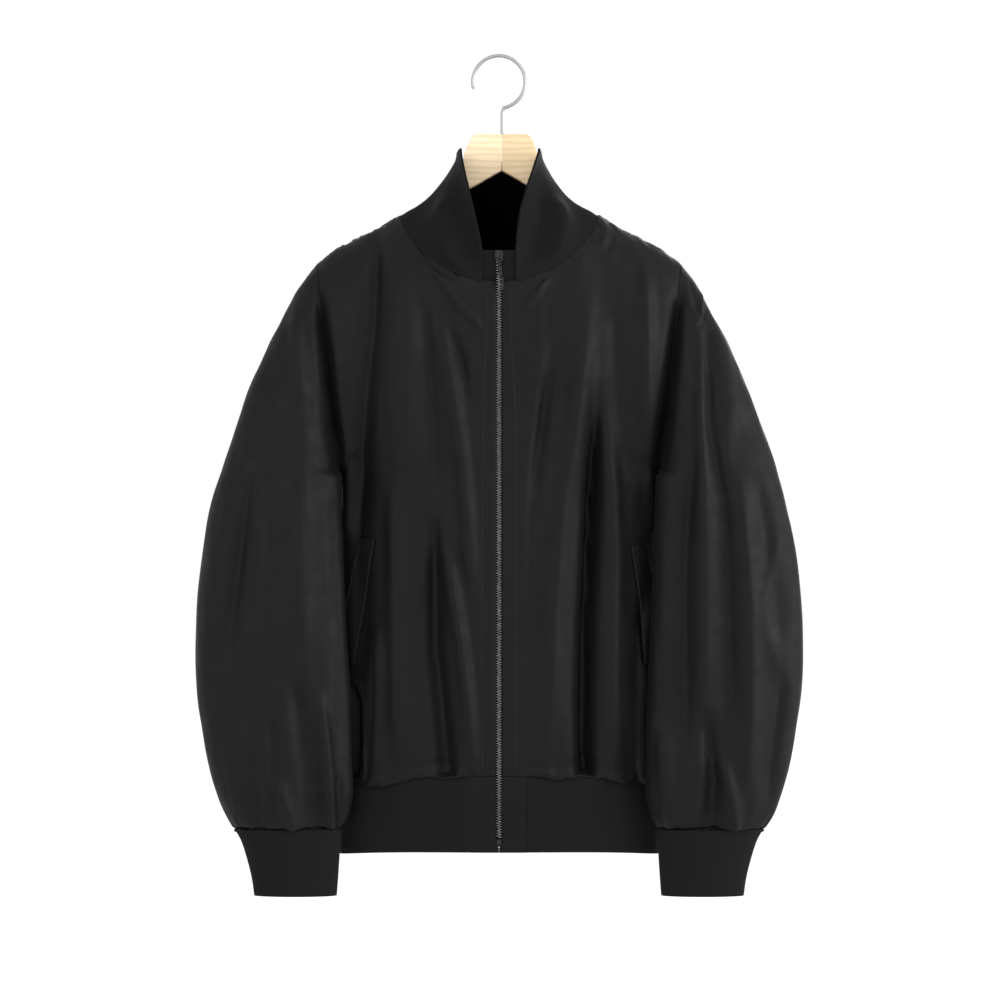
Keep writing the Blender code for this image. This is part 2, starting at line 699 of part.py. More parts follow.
def join_to(item, helper, cutters):
    """Unite a helper shape with a piece, and keep the helper with the cutters."""
    cutters.objects.link(helper)
    helper.hide_render = True
    helper.display_type = "WIRE"
    union = item.modifiers.new(helper.name, "BOOLEAN")
    union.operation = "UNION"
    union.object = helper


def rounded(low_x, high_x, low_z, high_z, radius, steps=4):
    """Outline of a rectangle with round corners."""
    corners = ((high_x - radius, high_z - radius, 0), (low_x + radius, high_z - radius, 90),
               (low_x + radius, low_z + radius, 180), (high_x - radius, low_z + radius, 270))
    points = []
    for x, z, start in corners:
        for step in range(steps + 1):
            angle = math.radians(start + 90 * step / steps)
            points.append((x + radius * math.cos(angle), z + radius * math.sin(angle)))
    return points


def make_slider(collection, cutters):
    """Make the zip's slider: two plates joined by a post, with an arch in front for the pull."""
    middle_y = front_line_y(SLIDER_Z) + ZIP_DEPTH
    plate_y = PLATE_GAP + PLATE_WALL / 2
    shield = [(-4.2, 5.2), (-3.4, 6.0), (3.4, 6.0), (4.2, 5.2), (4.2, 1.0), (3.3, -4.6), (2.7, -5.6),
              (-2.7, -5.6), (-3.3, -4.6), (-4.2, 1.0)]
    slider = place_object("zip_slider", outline_mesh("zip_slider", [shield[::-1]], PLATE_WALL, 0.2),
                          ZIP_METAL, collection)
    slider.location = Vector((SLIDER_X, middle_y - plate_y, SLIDER_Z)) * MM
    rear = bpy.data.objects.new("slider_rear", outline_mesh("slider_rear", [shield[::-1]],
                                                            PLATE_WALL, 0.2))
    rear.location = Vector((SLIDER_X, middle_y + plate_y, SLIDER_Z)) * MM
    join_to(slider, rear, cutters)
    post = bpy.data.objects.new("slider_post", outline_mesh(
        "slider_post", [rounded(-1.5, 1.5, 2.0, 5.0, 1.4)], 2 * plate_y))
    post.location = Vector((SLIDER_X, middle_y, SLIDER_Z)) * MM
    join_to(slider, post, cutters)
    foot, inner, outer = -PLATE_WALL / 4, PIN_OUT + 0.9, PIN_OUT + 1.9
    arch = [(foot, 3.4), (inner, 3.4), (outer, 2.4), (outer, -2.4), (inner, -3.4), (foot, -3.4),
            (foot, -2.3), (inner - 0.3, -2.3), (inner, -2.0), (inner, 2.0), (inner - 0.3, 2.3),
            (foot, 2.3)]
    bridge = bpy.data.objects.new("slider_bridge", outline_mesh("slider_bridge", [arch], 2.0))
    bridge.rotation_euler = (0.0, 0.0, -math.pi / 2)
    bridge.location = Vector((SLIDER_X, middle_y - PLATE_GAP - PLATE_WALL, SLIDER_Z)) * MM
    join_to(slider, bridge, cutters)


def make_pull(collection):
    """Make the slim zip pull, whose bar hangs under the slider's arch."""
    stations = ((0.6, 2.7), (-0.2, 2.9), (-4.6, 2.8), (-6.4, 1.5), (-8.6, 1.1), (-12.0, 1.9),
                (-15.0, 1.9), (-18.6, 1.15), (-22.0, 1.9), (-25.5, 1.9), (-29.0, 1.2), (-32.0, 1.5),
                (-34.5, 1.3), (-35.6, 0.6))

    def drift(z):
        """How far the pull leans to the right at a distance below its bar."""
        return PULL_DRIFT * smooth(4.0, 36.0, -z)

    right = [(drift(z) + half, z) for z, half in stations]
    left = [(drift(z) - half, z) for z, half in reversed(stations)]
    holes = [rounded(-1.6, 1.6, -5.0, -0.65, 0.6)]
    for z in (-13.5, -23.7):
        holes.append(rounded(drift(z) - 0.75, drift(z) + 0.75, z - 2.4, z + 2.4, 0.74))
    mesh = outline_mesh("zip_pull", [left + right] + holes, PULL_WALL, 0.15)
    pull = place_object("zip_pull", mesh, ZIP_METAL, collection)
    bar_y = front_line_y(SLIDER_Z) + ZIP_DEPTH - PLATE_GAP - PLATE_WALL - PIN_OUT
    pull.location = Vector((SLIDER_X, bar_y, SLIDER_Z)) * MM


def make_zip_box(collection):
    """Make the small box that closes the zip's foot."""
    work = bmesh.new()
    size = Matrix.Diagonal((5.8 * MM, BOX_WALL * MM, BOX_HEIGHT * MM, 1.0))
    bmesh.ops.create_cube(work, size=1.0, matrix=size)
    mesh = bpy.data.meshes.new("zip_box")
    work.to_mesh(mesh)
    work.free()
    box = place_object("zip_box", mesh, ZIP_METAL, collection)
    middle_z = ZIP_FOOT_Z - CLEAR - BOX_HEIGHT / 2
    box.location = Vector((0.0, front_line_y(middle_z) + ZIP_DEPTH, middle_z)) * MM
    bevel = box.modifiers.new("Round", "BEVEL")
    bevel.width = 0.5 * MM
    bevel.segments = 2


def point_on(sheet, x, z):
    """Find the running numbers of the point of a front panel at a place in the front view."""
    u, v = 0.6, 0.4
    step = 0.001
    for _ in range(25):
        here = sheet(u, v)
        by_u = (sheet(u + step, v) - here) / step
        by_v = (sheet(u, v + step) - here) / step
        area = by_u.x * by_v.z - by_v.x * by_u.z
        miss_x, miss_z = x - here.x, z - here.z
        u += (miss_x * by_v.z - miss_z * by_v.x) / area
        v += (miss_z * by_u.x - miss_x * by_u.z) / area
        u, v = min(max(u, 0.02), 0.985), min(max(v, 0.02), 1.9)
    return u, v


def make_welts(collection):
    """Make the pocket welts, lifted off the points of the fronts."""
    lift = CLOTH_WALL / 2 + 4 * CLEAR + WELT_WALL / 2
    for name, mirror, welt in (("pocket_welt_left", -1.0, WELT_LEFT),
                               ("pocket_welt_right", 1.0, WELT_RIGHT)):
        panel = panel_sheet(True, mirror)

        def strip(u, v, panel=panel, welt=welt):
            """Point of a welt."""
            x = mix(welt.x0, welt.x1, v) + (u - 0.5) * welt.width
            z = mix(welt.z0, welt.z1, v)
            here_u, here_v = point_on(panel, x, z)
            point = panel(here_u, here_v)
            across = panel(here_u + 0.004, here_v) - point
            up = panel(here_u, here_v + 0.004) - point
            normal = across.cross(up).normalized()
            return point + normal * (lift if normal.y < 0 else -lift)

        mesh = sheet_mesh(name, strip, even(3), even(8))
        add_wall(place_object(name, mesh, NYLON, collection), WELT_WALL)


def make_hanger(collection):
    """Make the hanger's two arms, which meet in the middle, and its wire hook."""
    keys = column(HANGER, "x")
    for name, mirror in (("hanger_arm_left", -1.0), ("hanger_arm_right", 1.0)):
        def arm(u, v, mirror=mirror):
            """Point of an arm's middle sheet."""
            row = Arm(*(read_at(column(HANGER, field), u * (len(keys) - 1)) for field in Arm._fields))
            return Vector((HANGER_X + mirror * row.x, row.y, mix(row.bottom, row.top, v)))

        mesh = sheet_mesh(name, arm, even(2 * (len(keys) - 1)), even(2), mirror > 0)
        item = add_wall(place_object(name, mesh, WOOD, collection), HANGER_THICK)
        bevel = item.modifiers.new("Round", "BEVEL")
        bevel.width = 1.6 * MM
        bevel.segments = 2
        bevel.angle_limit = math.radians(60)

    points = [(STEM_X, HANGER[0].top + CLEAR), (STEM_X, HANGER[0].top + 12), (STEM_X, -59.0)]
    middle_z = HOOK_WIRE - HOOK_RADIUS
    steps = 40
    for step in range(steps + 1):
        angle = math.radians(mix(HOOK_START, HOOK_END, step / steps))
        points.append((HOOK_RADIUS * math.cos(angle), middle_z + HOOK_RADIUS * math.sin(angle)))
    curve = bpy.data.curves.new("hanger_hook", "CURVE")
    curve.dimensions = "3D"
    curve.bevel_depth = HOOK_WIRE * MM
    curve.bevel_resolution = 2
    curve.use_fill_caps = True
    spline = curve.splines.new("POLY")
    spline.points.add(len(points) - 1)
    for point, (x, z) in zip(spline.points, points):
        point.co = (x * MM, 0.0, z * MM, 1.0)
    place_object("hanger_hook", curve, STEEL, collection)


def main():
    """Build every piece."""
    for item in list(bpy.data.objects):
        bpy.data.objects.remove(item, do_unlink=True)
    collection = bpy.data.collections.new("track_jacket_on_hanger")
    bpy.context.scene.collection.children.link(collection)
    cutters = bpy.data.collections.new("cutters")
    bpy.context.scene.collection.children.link(cutters)
    make_fronts(collection)
    make_back(collection)
    make_sleeves(collection)
    make_collar(collection)
    make_hem(collection)
    make_welts(collection)
    make_zip(collection)
    make_zip_box(collection)
    make_slider(collection, cutters)
    make_pull(collection)
    make_hanger(collection)


main()
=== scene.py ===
"""A zip-front track jacket on a wooden hanger, and the studio round it.

Units are metres in the scene and millimetres in the sizes of each class. +Z is up, the front faces
-Y, and left and right are as seen from the front.
"""

from __future__ import annotations

import json
import logging
import math
import random
from dataclasses import dataclass
from enum import Enum
from typing import Iterable, Sequence

import bmesh
import bpy
import numpy as np
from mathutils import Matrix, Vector, noise

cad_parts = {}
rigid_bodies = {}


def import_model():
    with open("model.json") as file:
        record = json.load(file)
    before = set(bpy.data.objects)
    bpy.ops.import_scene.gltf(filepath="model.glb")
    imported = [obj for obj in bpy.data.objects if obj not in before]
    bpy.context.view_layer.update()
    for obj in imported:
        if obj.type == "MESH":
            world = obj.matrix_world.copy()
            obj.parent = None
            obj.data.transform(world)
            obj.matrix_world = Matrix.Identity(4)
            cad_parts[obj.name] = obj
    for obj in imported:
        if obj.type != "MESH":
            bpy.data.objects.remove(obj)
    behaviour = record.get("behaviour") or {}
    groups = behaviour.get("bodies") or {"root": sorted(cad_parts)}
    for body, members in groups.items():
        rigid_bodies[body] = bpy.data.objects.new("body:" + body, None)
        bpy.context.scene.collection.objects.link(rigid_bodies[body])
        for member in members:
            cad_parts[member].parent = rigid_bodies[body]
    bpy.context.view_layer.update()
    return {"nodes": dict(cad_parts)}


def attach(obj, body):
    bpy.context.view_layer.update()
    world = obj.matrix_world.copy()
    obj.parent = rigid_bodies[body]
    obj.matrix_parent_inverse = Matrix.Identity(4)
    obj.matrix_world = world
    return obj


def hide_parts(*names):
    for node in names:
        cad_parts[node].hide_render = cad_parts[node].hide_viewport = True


for leftover in list(bpy.data.objects):
    bpy.data.objects.remove(leftover)
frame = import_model()

log = logging.getLogger("track_jacket")
MM = 0.001
WELD = 0.01  # millimetres within which two halves' points are one
FAR = 1e3  # millimetres, for a seam that a place has no part in
Array = np.ndarray
Colour = tuple[float, float, float]
Place = tuple[float, float, float]
WHITE = (1.0, 1.0, 1.0)
EVEN = (1.0, 1.0, 1.0)  # coordinates that aren't stretched
UP = np.array((0.0, 0.0, 1.0))


class Side(Enum):
    """A side of the jacket, as seen from the front."""

    LEFT = -1.0
    RIGHT = 1.0

    @property
    def label(self) -> str:
        """Name used in the pieces of this side."""
        return self.name.lower()


# ---------------------------------------------------------------- arithmetic
def mix(a: Array | float, b: Array | float, part: Array | float) -> Array | float:
    """Read the value a given part of the way from a to b."""
    return a + (b - a) * part


def smooth(low: float, high: float, value: Array | float) -> Array:
    """Rise smoothly from 0 at low to 1 at high."""
    part = np.clip((value - low) / (high - low), 0.0, 1.0)
    return part * part * (3.0 - 2.0 * part)


def packed_ends(count: int, strength: float = 0.75) -> Array:
    """Running numbers from 0 to 1 that lie closer together near both ends.

    Args:
        count: How many steps to make.
        strength: 0 spaces them evenly, and towards 1 the ends get finer.

    Returns:
        count + 1 rising numbers.
    """
    steps = np.linspace(0.0, 1.0, count + 1)
    return steps - strength * np.sin(math.tau * steps) / math.tau


def uneven_wave(place: Array, pitch: float, seed: int) -> Array:
    """Gathers with an uneven spacing and depth.

    Args:
        place: Distances along the seam, in millimetres.
        pitch: Mean distance between two gathers.
        seed: Picks one of many spacings.

    Returns:
        Heights between about -1 and 1.
    """
    pick = random.Random(seed)
    total = np.zeros_like(place)
    for share, weight in ((1.0, 0.5), (0.61, 0.32), (1.73, 0.26), (0.37, 0.25)):
        stretch = share * pick.uniform(0.9, 1.1)
        total += weight * np.sin(math.tau * (place / pitch * stretch + pick.random()))
    return total


def drape_noise(points: Array, across: float, along: float, seed: float) -> Array:
    """Soft unevenness of hanging cloth, longer along the fall than across it.

    Args:
        points: Points in millimetres.
        across: Size of one lump sideways.
        along: Size of one lump up and down.
        seed: Shift of the pattern.

    Returns:
        Heights between about -1 and 1, shaped as the points are.
    """
    flat = points.reshape(-1, 3)
    scaled = np.column_stack((flat[:, 0] / across + seed, flat[:, 1] / across, flat[:, 2] / along))
    values = [noise.noise(Vector(row)) for row in scaled.tolist()]
    return np.array(values).reshape(points.shape[:-1])


@dataclass(frozen=True)
class Stations:
    """Named columns of sizes, read smoothly between their rows. The first column may be a key."""

    names: tuple[str, ...]
    rows: tuple[tuple[float, ...], ...]

    def column(self, name: str) -> Array:
        """Take one column."""
        return np.array([row[self.names.index(name)] for row in self.rows], float)

    def read(self, name: str, place: Array | float) -> Array:
        """Read a column between its rows.

        Args:
            name: The column.
            place: Running row numbers.

        Returns:
            The smooth values there.
        """
        values = self.column(name)
        last = len(values) - 1
        place = np.clip(np.asarray(place, float), 0.0, last)
        index = np.minimum(place.astype(int), last - 1)
        here, there = values[index], values[index + 1]
        start = (there - values[np.maximum(index - 1, 0)]) / 2
        stop = (values[np.minimum(index + 2, last)] - here) / 2
        part = place - index
        square, cube = part**2, part**3
        return (here * (2 * cube - 3 * square + 1) + start * (cube - 2 * square + part)
                + there * (3 * square - 2 * cube) + stop * (cube - square))

    def at(self, name: str, key: Array | float) -> Array:
        """Read a column where the first column has a value."""
        keys = self.column(self.names[0])
        return self.read(name, np.interp(key, keys, np.arange(len(keys))))


CROWN = Stations(
    ("x", "z", "rise", "reach"),
    ((46, -108, 0.0, 40), (58, -122, -4.0, 40), (72, -136, -7.0, 42), (86, -149, -6.0, 46),
     (100, -160, -2.0, 52), (115, -171, 0.8, 70), (130, -182, 2.2, 90), (145, -193, 5.8, 110),
     (160, -204, 9.0, 120), (173, -213, 11.0, 120), (184, -221, 10.8, 120), (196, -232, 8.5, 120),
     (208, -245, 4.5, 110), (222, -265, 1.0, 100), (234, -287, 0.0, 100)))


def crowned(points: Array) -> Array:
    """Move points up or down by the crown of the neck and shoulders.

    Args:
        points: Points in millimetres.

    Returns:
        The moved points.
    """
    level, rise, reach = (CROWN.at(name, np.abs(points[..., 0])) for name in ("z", "rise", "reach"))
    part = smooth(0.0, 1.0, (points[..., 2] - level + reach) / (reach - 8.0))
    return points + (rise * part)[..., None] * UP


@dataclass(frozen=True)
class ArmholeSeam:
    """The armhole seam in the front view, and how far the front sinks along it.

    The sleeves' weight draws the cloth in there. starts and ends are heights between which the sink
    sets in and dies out, and forward the distances ahead of the middle that it takes to set in.
    """

    underarm_x: float = 168.0
    shoulder_x: float = 192.0
    underarm_z: float = -436.0
    shoulder_z: float = -229.0
    depth: float = 11.0
    reach: float = 6.5
    starts: tuple[float, float] = (-446.0, -395.0)
    ends: tuple[float, float] = (-300.0, -232.0)
    forward: tuple[float, float] = (8.0, 34.0)

    def across(self, z: Array) -> Array:
        """Distance of the seam from the middle at a height."""
        part = (z - self.underarm_z) / (self.shoulder_z - self.underarm_z)
        return mix(self.underarm_x, self.shoulder_x, part)

    def tucked(self, points: Array) -> Array:
        """Sink the front along both armhole seams.

        Args:
            points: Points in millimetres.

        Returns:
            The moved points.
        """
        x, y, z = np.abs(points[..., 0]), points[..., 1], points[..., 2]
        depth = self.depth * smooth(*self.starts, z) * (1.0 - smooth(*self.ends, z))
        near = np.exp(-(((x - self.across(z)) / self.reach) ** 2))
        sink = depth * near * smooth(*self.forward, -y)
        return points + sink[..., None] * np.array((0.0, 1.0, 0.0))


ARMHOLE = ArmholeSeam()


@dataclass(frozen=True)
class Crease:
    """A ridge or trough along a bent line in the front or back view.

    path is a run of (x, z) places, reach half the crease's width, height its rise, negative for a
    trough. crisp goes from 0 for a soft roll to 1 for a sharp fold. lean makes the left flank of a
    falling line wider and its right flank steeper.
    """

    path: tuple[tuple[float, float], ...]
    reach: float
    height: float
    crisp: float = 0.3
    lean: float = 0.0

    def rise(self, x: Array, z: Array) -> Array:
        """Height of the crease at places of the view.

        Args:
            x: Distances from the middle, signed.
            z: Heights of the places.

        Returns:
            How far the crease lifts or sinks each place.
        """
        lengths = [math.dist(a, b) for a, b in zip(self.path, self.path[1:])]
        total = sum(lengths)
        nearest = np.full(x.shape, 1e9)
        place = np.zeros(x.shape)
        hand = np.zeros(x.shape)
        done = 0.0
        for (ax, az), (bx, bz), length in zip(self.path, self.path[1:], lengths):
            along = np.clip(((x - ax) * (bx - ax) + (z - az) * (bz - az)) / length**2, 0.0, 1.0)
            away = np.hypot(x - ax - along * (bx - ax), z - az - along * (bz - az))
            closer = away < nearest
            place = np.where(closer, (done + along * length) / total, place)
            hand = np.where(closer, np.sign((x - ax) * (bz - az) - (z - az) * (bx - ax)), hand)
            nearest = np.where(closer, away, nearest)
            done += length
        fade = smooth(0.0, 0.22, place) * (1.0 - smooth(0.72, 1.0, place))
        across = nearest / (self.reach * mix(0.75, 1.25, place) * (1.0 + self.lean * hand))
        soft = np.exp(-(across**2))
        sharp = np.exp(-1.9 * (np.sqrt(across**2 + 0.03) - 0.173))
        return self.height * fade * mix(soft, sharp, self.crisp)


def total_rise(creases: Iterable[Crease], x: Array, z: Array) -> Array:
    """Add up the creases at places of the view."""
    return sum((crease.rise(x, z) for crease in creases), np.zeros(x.shape))


# ---------------------------------------------------------------- finishes
class Shader:
    """One procedural material with a Principled surface."""

    def __init__(self, name: str, colour: Colour, roughness: float, metallic: float = 0.0) -> None:
        """Start the material with its plain values.

        Args:
            name: Name of the material.
            colour: Its plain colour.
            roughness: Roughness of its surface.
            metallic: 1 for bare metal.
        """
        self.material = bpy.data.materials.new(name)
        self.material.use_nodes = True
        self.tree = self.material.node_tree
        self.surface = self.tree.nodes["Principled BSDF"]
        self.set(self.surface, {"Base Color": (*colour, 1.0), "Roughness": roughness,
                                "Metallic": metallic})

    def set(self, node: bpy.types.Node, values: dict[str, object]) -> None:
        """Set input values of a node by name."""
        for name, value in values.items():
            node.inputs[name].default_value = value

    def node(self, kind: str, values: dict[str, object] | None = None,
             **settings: object) -> bpy.types.Node:
        """Add a node.

        Args:
            kind: Blender's type name, without the ShaderNode in front.
            values: Input values by name.
            settings: Properties of the node itself.

        Returns:
            The new node.
        """
        node = self.tree.nodes.new("ShaderNode" + kind)
        for name, value in settings.items():
            setattr(node, name, value)
        self.set(node, values or {})
        return node

    def link(self, source: bpy.types.NodeSocket, target: bpy.types.NodeSocket) -> None:
        """Link two sockets."""
        self.tree.links.new(source, target)

    def place(self, in_cloth: bool, stretch: Place = EVEN) -> bpy.types.NodeSocket:
        """Coordinates in metres, scaled.

        Args:
            in_cloth: True follows the cloth's own threads, False the object's space.
            stretch: Scale along each axis.

        Returns:
            The socket with the scaled place.
        """
        source = self.node("TexCoord").outputs["UV" if in_cloth else "Object"]
        mapping = self.node("Mapping", {"Scale": stretch})
        self.link(source, mapping.inputs["Vector"])
        return mapping.outputs["Vector"]

    def noise(self, place: bpy.types.NodeSocket, scale: float, detail: float = 4.0,
              rough: float = 0.55) -> bpy.types.NodeSocket:
        """Noise between 0 and 1.

        Args:
            place: Socket with the coordinates.
            scale: How many lumps a metre holds.
            detail: Layers of finer noise.
            rough: Share of each finer layer.

        Returns:
            The socket with the noise.
        """
        node = self.node("TexNoise", {"Scale": scale, "Detail": detail, "Roughness": rough})
        self.link(place, node.inputs["Vector"])
        return node.outputs["Fac"]

    def wave(self, place: bpy.types.NodeSocket, pitch: float, axis: str,
             bend: float = 0.0) -> bpy.types.NodeSocket:
        """Even ridges.

        Args:
            place: Socket with the coordinates.
            pitch: Distance between two ridges, in metres.
            axis: The axis that they follow one another along.
            bend: How much they waver.

        Returns:
            The socket with their height, between 0 and 1.
        """
        node = self.node("TexWave", {"Scale": math.pi / 10 / pitch, "Distortion": bend,
                                     "Detail": 1.0, "Detail Scale": 3.0},
                         wave_type="BANDS", bands_direction=axis, wave_profile="SIN")
        self.link(place, node.inputs["Vector"])
        return node.outputs["Fac"]

    def span(self, value: bpy.types.NodeSocket, low: float, high: float,
             target: bpy.types.NodeSocket) -> None:
        """Spread a value between 0.3 and 0.7 over a range, into a socket.

        Args:
            value: Socket with the value.
            low: What 0.3 gives.
            high: What 0.7 gives.
            target: Socket that takes the result.
        """
        node = self.node("MapRange", {"From Min": 0.3, "From Max": 0.7, "To Min": low,
                                      "To Max": high})
        self.link(value, node.inputs["Value"])
        self.link(node.outputs["Result"], target)

    def shades(self, value: bpy.types.NodeSocket, dark: Colour, light: Colour, low: float = 0.3,
               high: float = 0.7) -> None:
        """Colour the surface from dark to light by a value.

        Args:
            value: Socket with the value.
            dark: Colour at its low end.
            light: Colour at its high end.
            low: The value up to which the surface is dark.
            high: The value from which it is light.
        """
        node = self.node("ValToRGB")
        ramp = node.color_ramp
        ramp.elements[0].position, ramp.elements[0].color = low, (*dark, 1.0)
        ramp.elements[1].position, ramp.elements[1].color = high, (*light, 1.0)
        self.link(value, node.inputs["Fac"])
        self.link(node.outputs["Color"], self.surface.inputs["Base Color"])

    def relief(self, layers: Sequence[tuple[bpy.types.NodeSocket, float, float]]) -> None:
        """Raise the surface by layers.

        Args:
            layers: The height's socket, the strength, and the distance in metres, of each.
        """
        below = None
        for height, strength, distance in layers:
            bump = self.node("Bump", {"Strength": strength, "Distance": distance})
            self.link(height, bump.inputs["Height"])
            if below is not None:
                self.link(below, bump.inputs["Normal"])
            below = bump.outputs["Normal"]
        self.link(below, self.surface.inputs["Normal"])


@dataclass(frozen=True)
class SatinNylon:
    """Black nylon with a soft satin face, as woven for windproof jackets."""

    name: str = "satin_nylon"
    dark: Colour = (0.0018, 0.0018, 0.0020)
    light: Colour = (0.0025, 0.0025, 0.0028)
    roughness: float = 0.58
    specular: float = 0.175
    sheen: float = 0.010
    thread: float = 0.00045
    slot: str = "shell"

    def make(self) -> bpy.types.Material:
        """Make the material.

        Returns:
            The new material.
        """
        shader = Shader(self.name, self.light, self.roughness)
        shader.set(shader.surface, {"Specular IOR Level": self.specular, "Sheen Weight": self.sheen,
                                    "Sheen Roughness": 0.5})
        body, cloth = shader.place(False), shader.place(True)
        patches = shader.noise(body, 22.0, 3.0)
        shader.shades(patches, self.dark, self.light)
        shader.span(shader.noise(body, 60.0), self.roughness - 0.05, self.roughness + 0.05,
                    shader.surface.inputs["Roughness"])
        crumple = shader.noise(shader.place(False, (1.0, 1.0, 0.45)), 75.0, 5.0, 0.6)
        shader.relief([(shader.wave(cloth, self.thread, "X"), 0.10, 0.00004),
                       (shader.wave(cloth, self.thread, "Y"), 0.10, 0.00004),
                       (crumple, 0.22, 0.0016)])
        return shader.material


@dataclass(frozen=True)
class RibKnit:
    """Black knit with fine upright ribs."""

    name: str = "rib_knit"
    dark: Colour = (0.0063, 0.0063, 0.0066)
    light: Colour = (0.0083, 0.0083, 0.0088)
    specular: float = 0.08
    rib: float = 0.0024
    stitch: float = 0.0013
    slot: str = "rib"

    def make(self) -> bpy.types.Material:
        """Make the material.

        Returns:
            The new material.
        """
        shader = Shader(self.name, self.light, 0.82)
        shader.set(shader.surface, {"Specular IOR Level": self.specular, "Sheen Weight": 0.01,
                                    "Sheen Roughness": 0.4})
        cloth = shader.place(True)
        ribs = shader.wave(cloth, self.rib, "X", 0.15)
        # The hollows between the ribs are coloured darker than their crests: painted shade.
        shader.shades(ribs, self.dark, self.light, 0.1, 0.9)
        fuzz = shader.noise(shader.place(False), 900.0, 3.0)
        loops = shader.wave(cloth, self.stitch, "Y", 0.3)
        shader.relief([(ribs, 0.22, 0.0005), (loops, 0.25, 0.0002), (fuzz, 0.2, 0.0002)])
        return shader.material


@dataclass(frozen=True)
class WovenTape:
    """Black woven tape of a zip."""

    colour: Colour = (0.0048, 0.0048, 0.0051)
    slot: str = "tape"

    def make(self) -> bpy.types.Material:
        """Make the material.

        Returns:
            The new material.
        """
        shader = Shader("woven_tape", self.colour, 0.8)
        shader.set(shader.surface, {"Specular IOR Level": 0.14})
        body = shader.place(False)
        weave = shader.wave(body, 0.0007, "DIAGONAL")
        # The low parts of the weave are coloured darker: painted shade.
        shader.shades(weave, tuple(0.7 * part for part in self.colour), self.colour, 0.1, 0.9)
        shader.relief([(weave, 0.3, 0.0002)])
        return shader.material


@dataclass(frozen=True)
class Thread:
    """Black polyester sewing thread."""

    name: str = "sewing_thread"
    colour: Colour = (0.007, 0.007, 0.0075)
    slot: str = "shell"

    def make(self) -> bpy.types.Material:
        """Make the material.

        Returns:
            The new material.
        """
        shader = Shader(self.name, self.colour, 0.5)
        twist = shader.wave(shader.place(False), 0.0004, "DIAGONAL")
        # The grooves of the twist are coloured darker: painted shade.
        shader.shades(twist, tuple(0.6 * part for part in self.colour), self.colour, 0.1, 0.9)
        shader.relief([(twist, 0.3, 0.0001)])
        return shader.material


@dataclass(frozen=True)
class AntiqueMetal:
    """Dark antique-finished brass of the zip, brighter where it rubs."""

    name: str = "antique_metal"
    dark: Colour = (0.10, 0.098, 0.092)
    light: Colour = (0.42, 0.415, 0.40)
    slot: str = "zip_metal"

    def make(self) -> bpy.types.Material:
        """Make the material.

        Returns:
            The new material.
        """
        shader = Shader(self.name, self.light, 0.36, 1.0)
        body = shader.place(False)
        rub = shader.noise(body, 420.0, 4.0)
        shader.shades(rub, self.dark, self.light)
        shader.span(shader.noise(body, 900.0), 0.28, 0.46, shader.surface.inputs["Roughness"])
        shader.relief([(shader.noise(body, 1600.0), 0.15, 0.0001)])
        return shader.material


@dataclass(frozen=True)
class BrightWire:
    """Polished steel wire with faint drawing lines."""

    colour: Colour = (0.42, 0.42, 0.42)
    slot: str = "hook_steel"

    def make(self) -> bpy.types.Material:
        """Make the material.

        Returns:
            The new material.
        """
        shader = Shader("bright_wire", self.colour, 0.4, 1.0)
        body = shader.place(False)
        worn = shader.noise(body, 300.0)
        shader.shades(worn, tuple(0.88 * part for part in self.colour), self.colour)
        shader.span(worn, 0.36, 0.46, shader.surface.inputs["Roughness"])
        shader.relief([(shader.noise(body, 2500.0), 0.05, 0.00005)])
        return shader.material


@dataclass(frozen=True)
class PaleWood:
    """Pale close-grained wood under a thin clear coat."""

    name: str = "pale_wood"
    early: Colour = (0.96, 0.77, 0.52)
    late: Colour = (0.86, 0.65, 0.40)
    slot: str = "wood"

    def make(self) -> bpy.types.Material:
        """Make the material.

        Returns:
            The new material.
        """
        shader = Shader(self.name, self.early, 0.42)
        shader.set(shader.surface, {"Coat Weight": 0.06, "Coat Roughness": 0.3})
        grain = shader.place(False, (1.0, 6.0, 7.0))
        rings = shader.wave(grain, 0.045, "Z", 3.0)
        shader.shades(rings, self.late, self.early, 0.0, 0.85)
        pores = shader.noise(shader.place(False, (1.0, 12.0, 14.0)), 260.0, 4.0)
        shader.relief([(pores, 0.12, 0.0002), (rings, 0.05, 0.0002)])
        return shader.material


class Wardrobe:
    """Holds one material of each finish, and dresses the pieces."""

    def __init__(self) -> None:
        """Start with nothing made."""
        self.made: dict[object, bpy.types.Material] = {}

    def material(self, finish: object) -> bpy.types.Material:
        """Make the material of a finish once.

        Args:
            finish: One of the finish classes.

        Returns:
            Its material, the same one each time.
        """
        if finish not in self.made:
            self.made[finish] = finish.make()
        return self.made[finish]

    def dress(self, item: bpy.types.Object, finish: object,
              inside: object | None = None) -> bpy.types.Object:
        """Give a piece its material.

        Args:
            item: The piece.
            finish: One of the finish classes.
            inside: A darker finish for a thickened sheet's inner face, where one is given; it is
                painted shade.

        Returns:
            The same piece.
        """
        item.data.materials.clear()
        item.data.materials.append(self.material(finish))
        if inside is not None:
            item.data.materials.append(self.material(inside))
            item.modifiers["Wall"].material_offset = 1
        return item


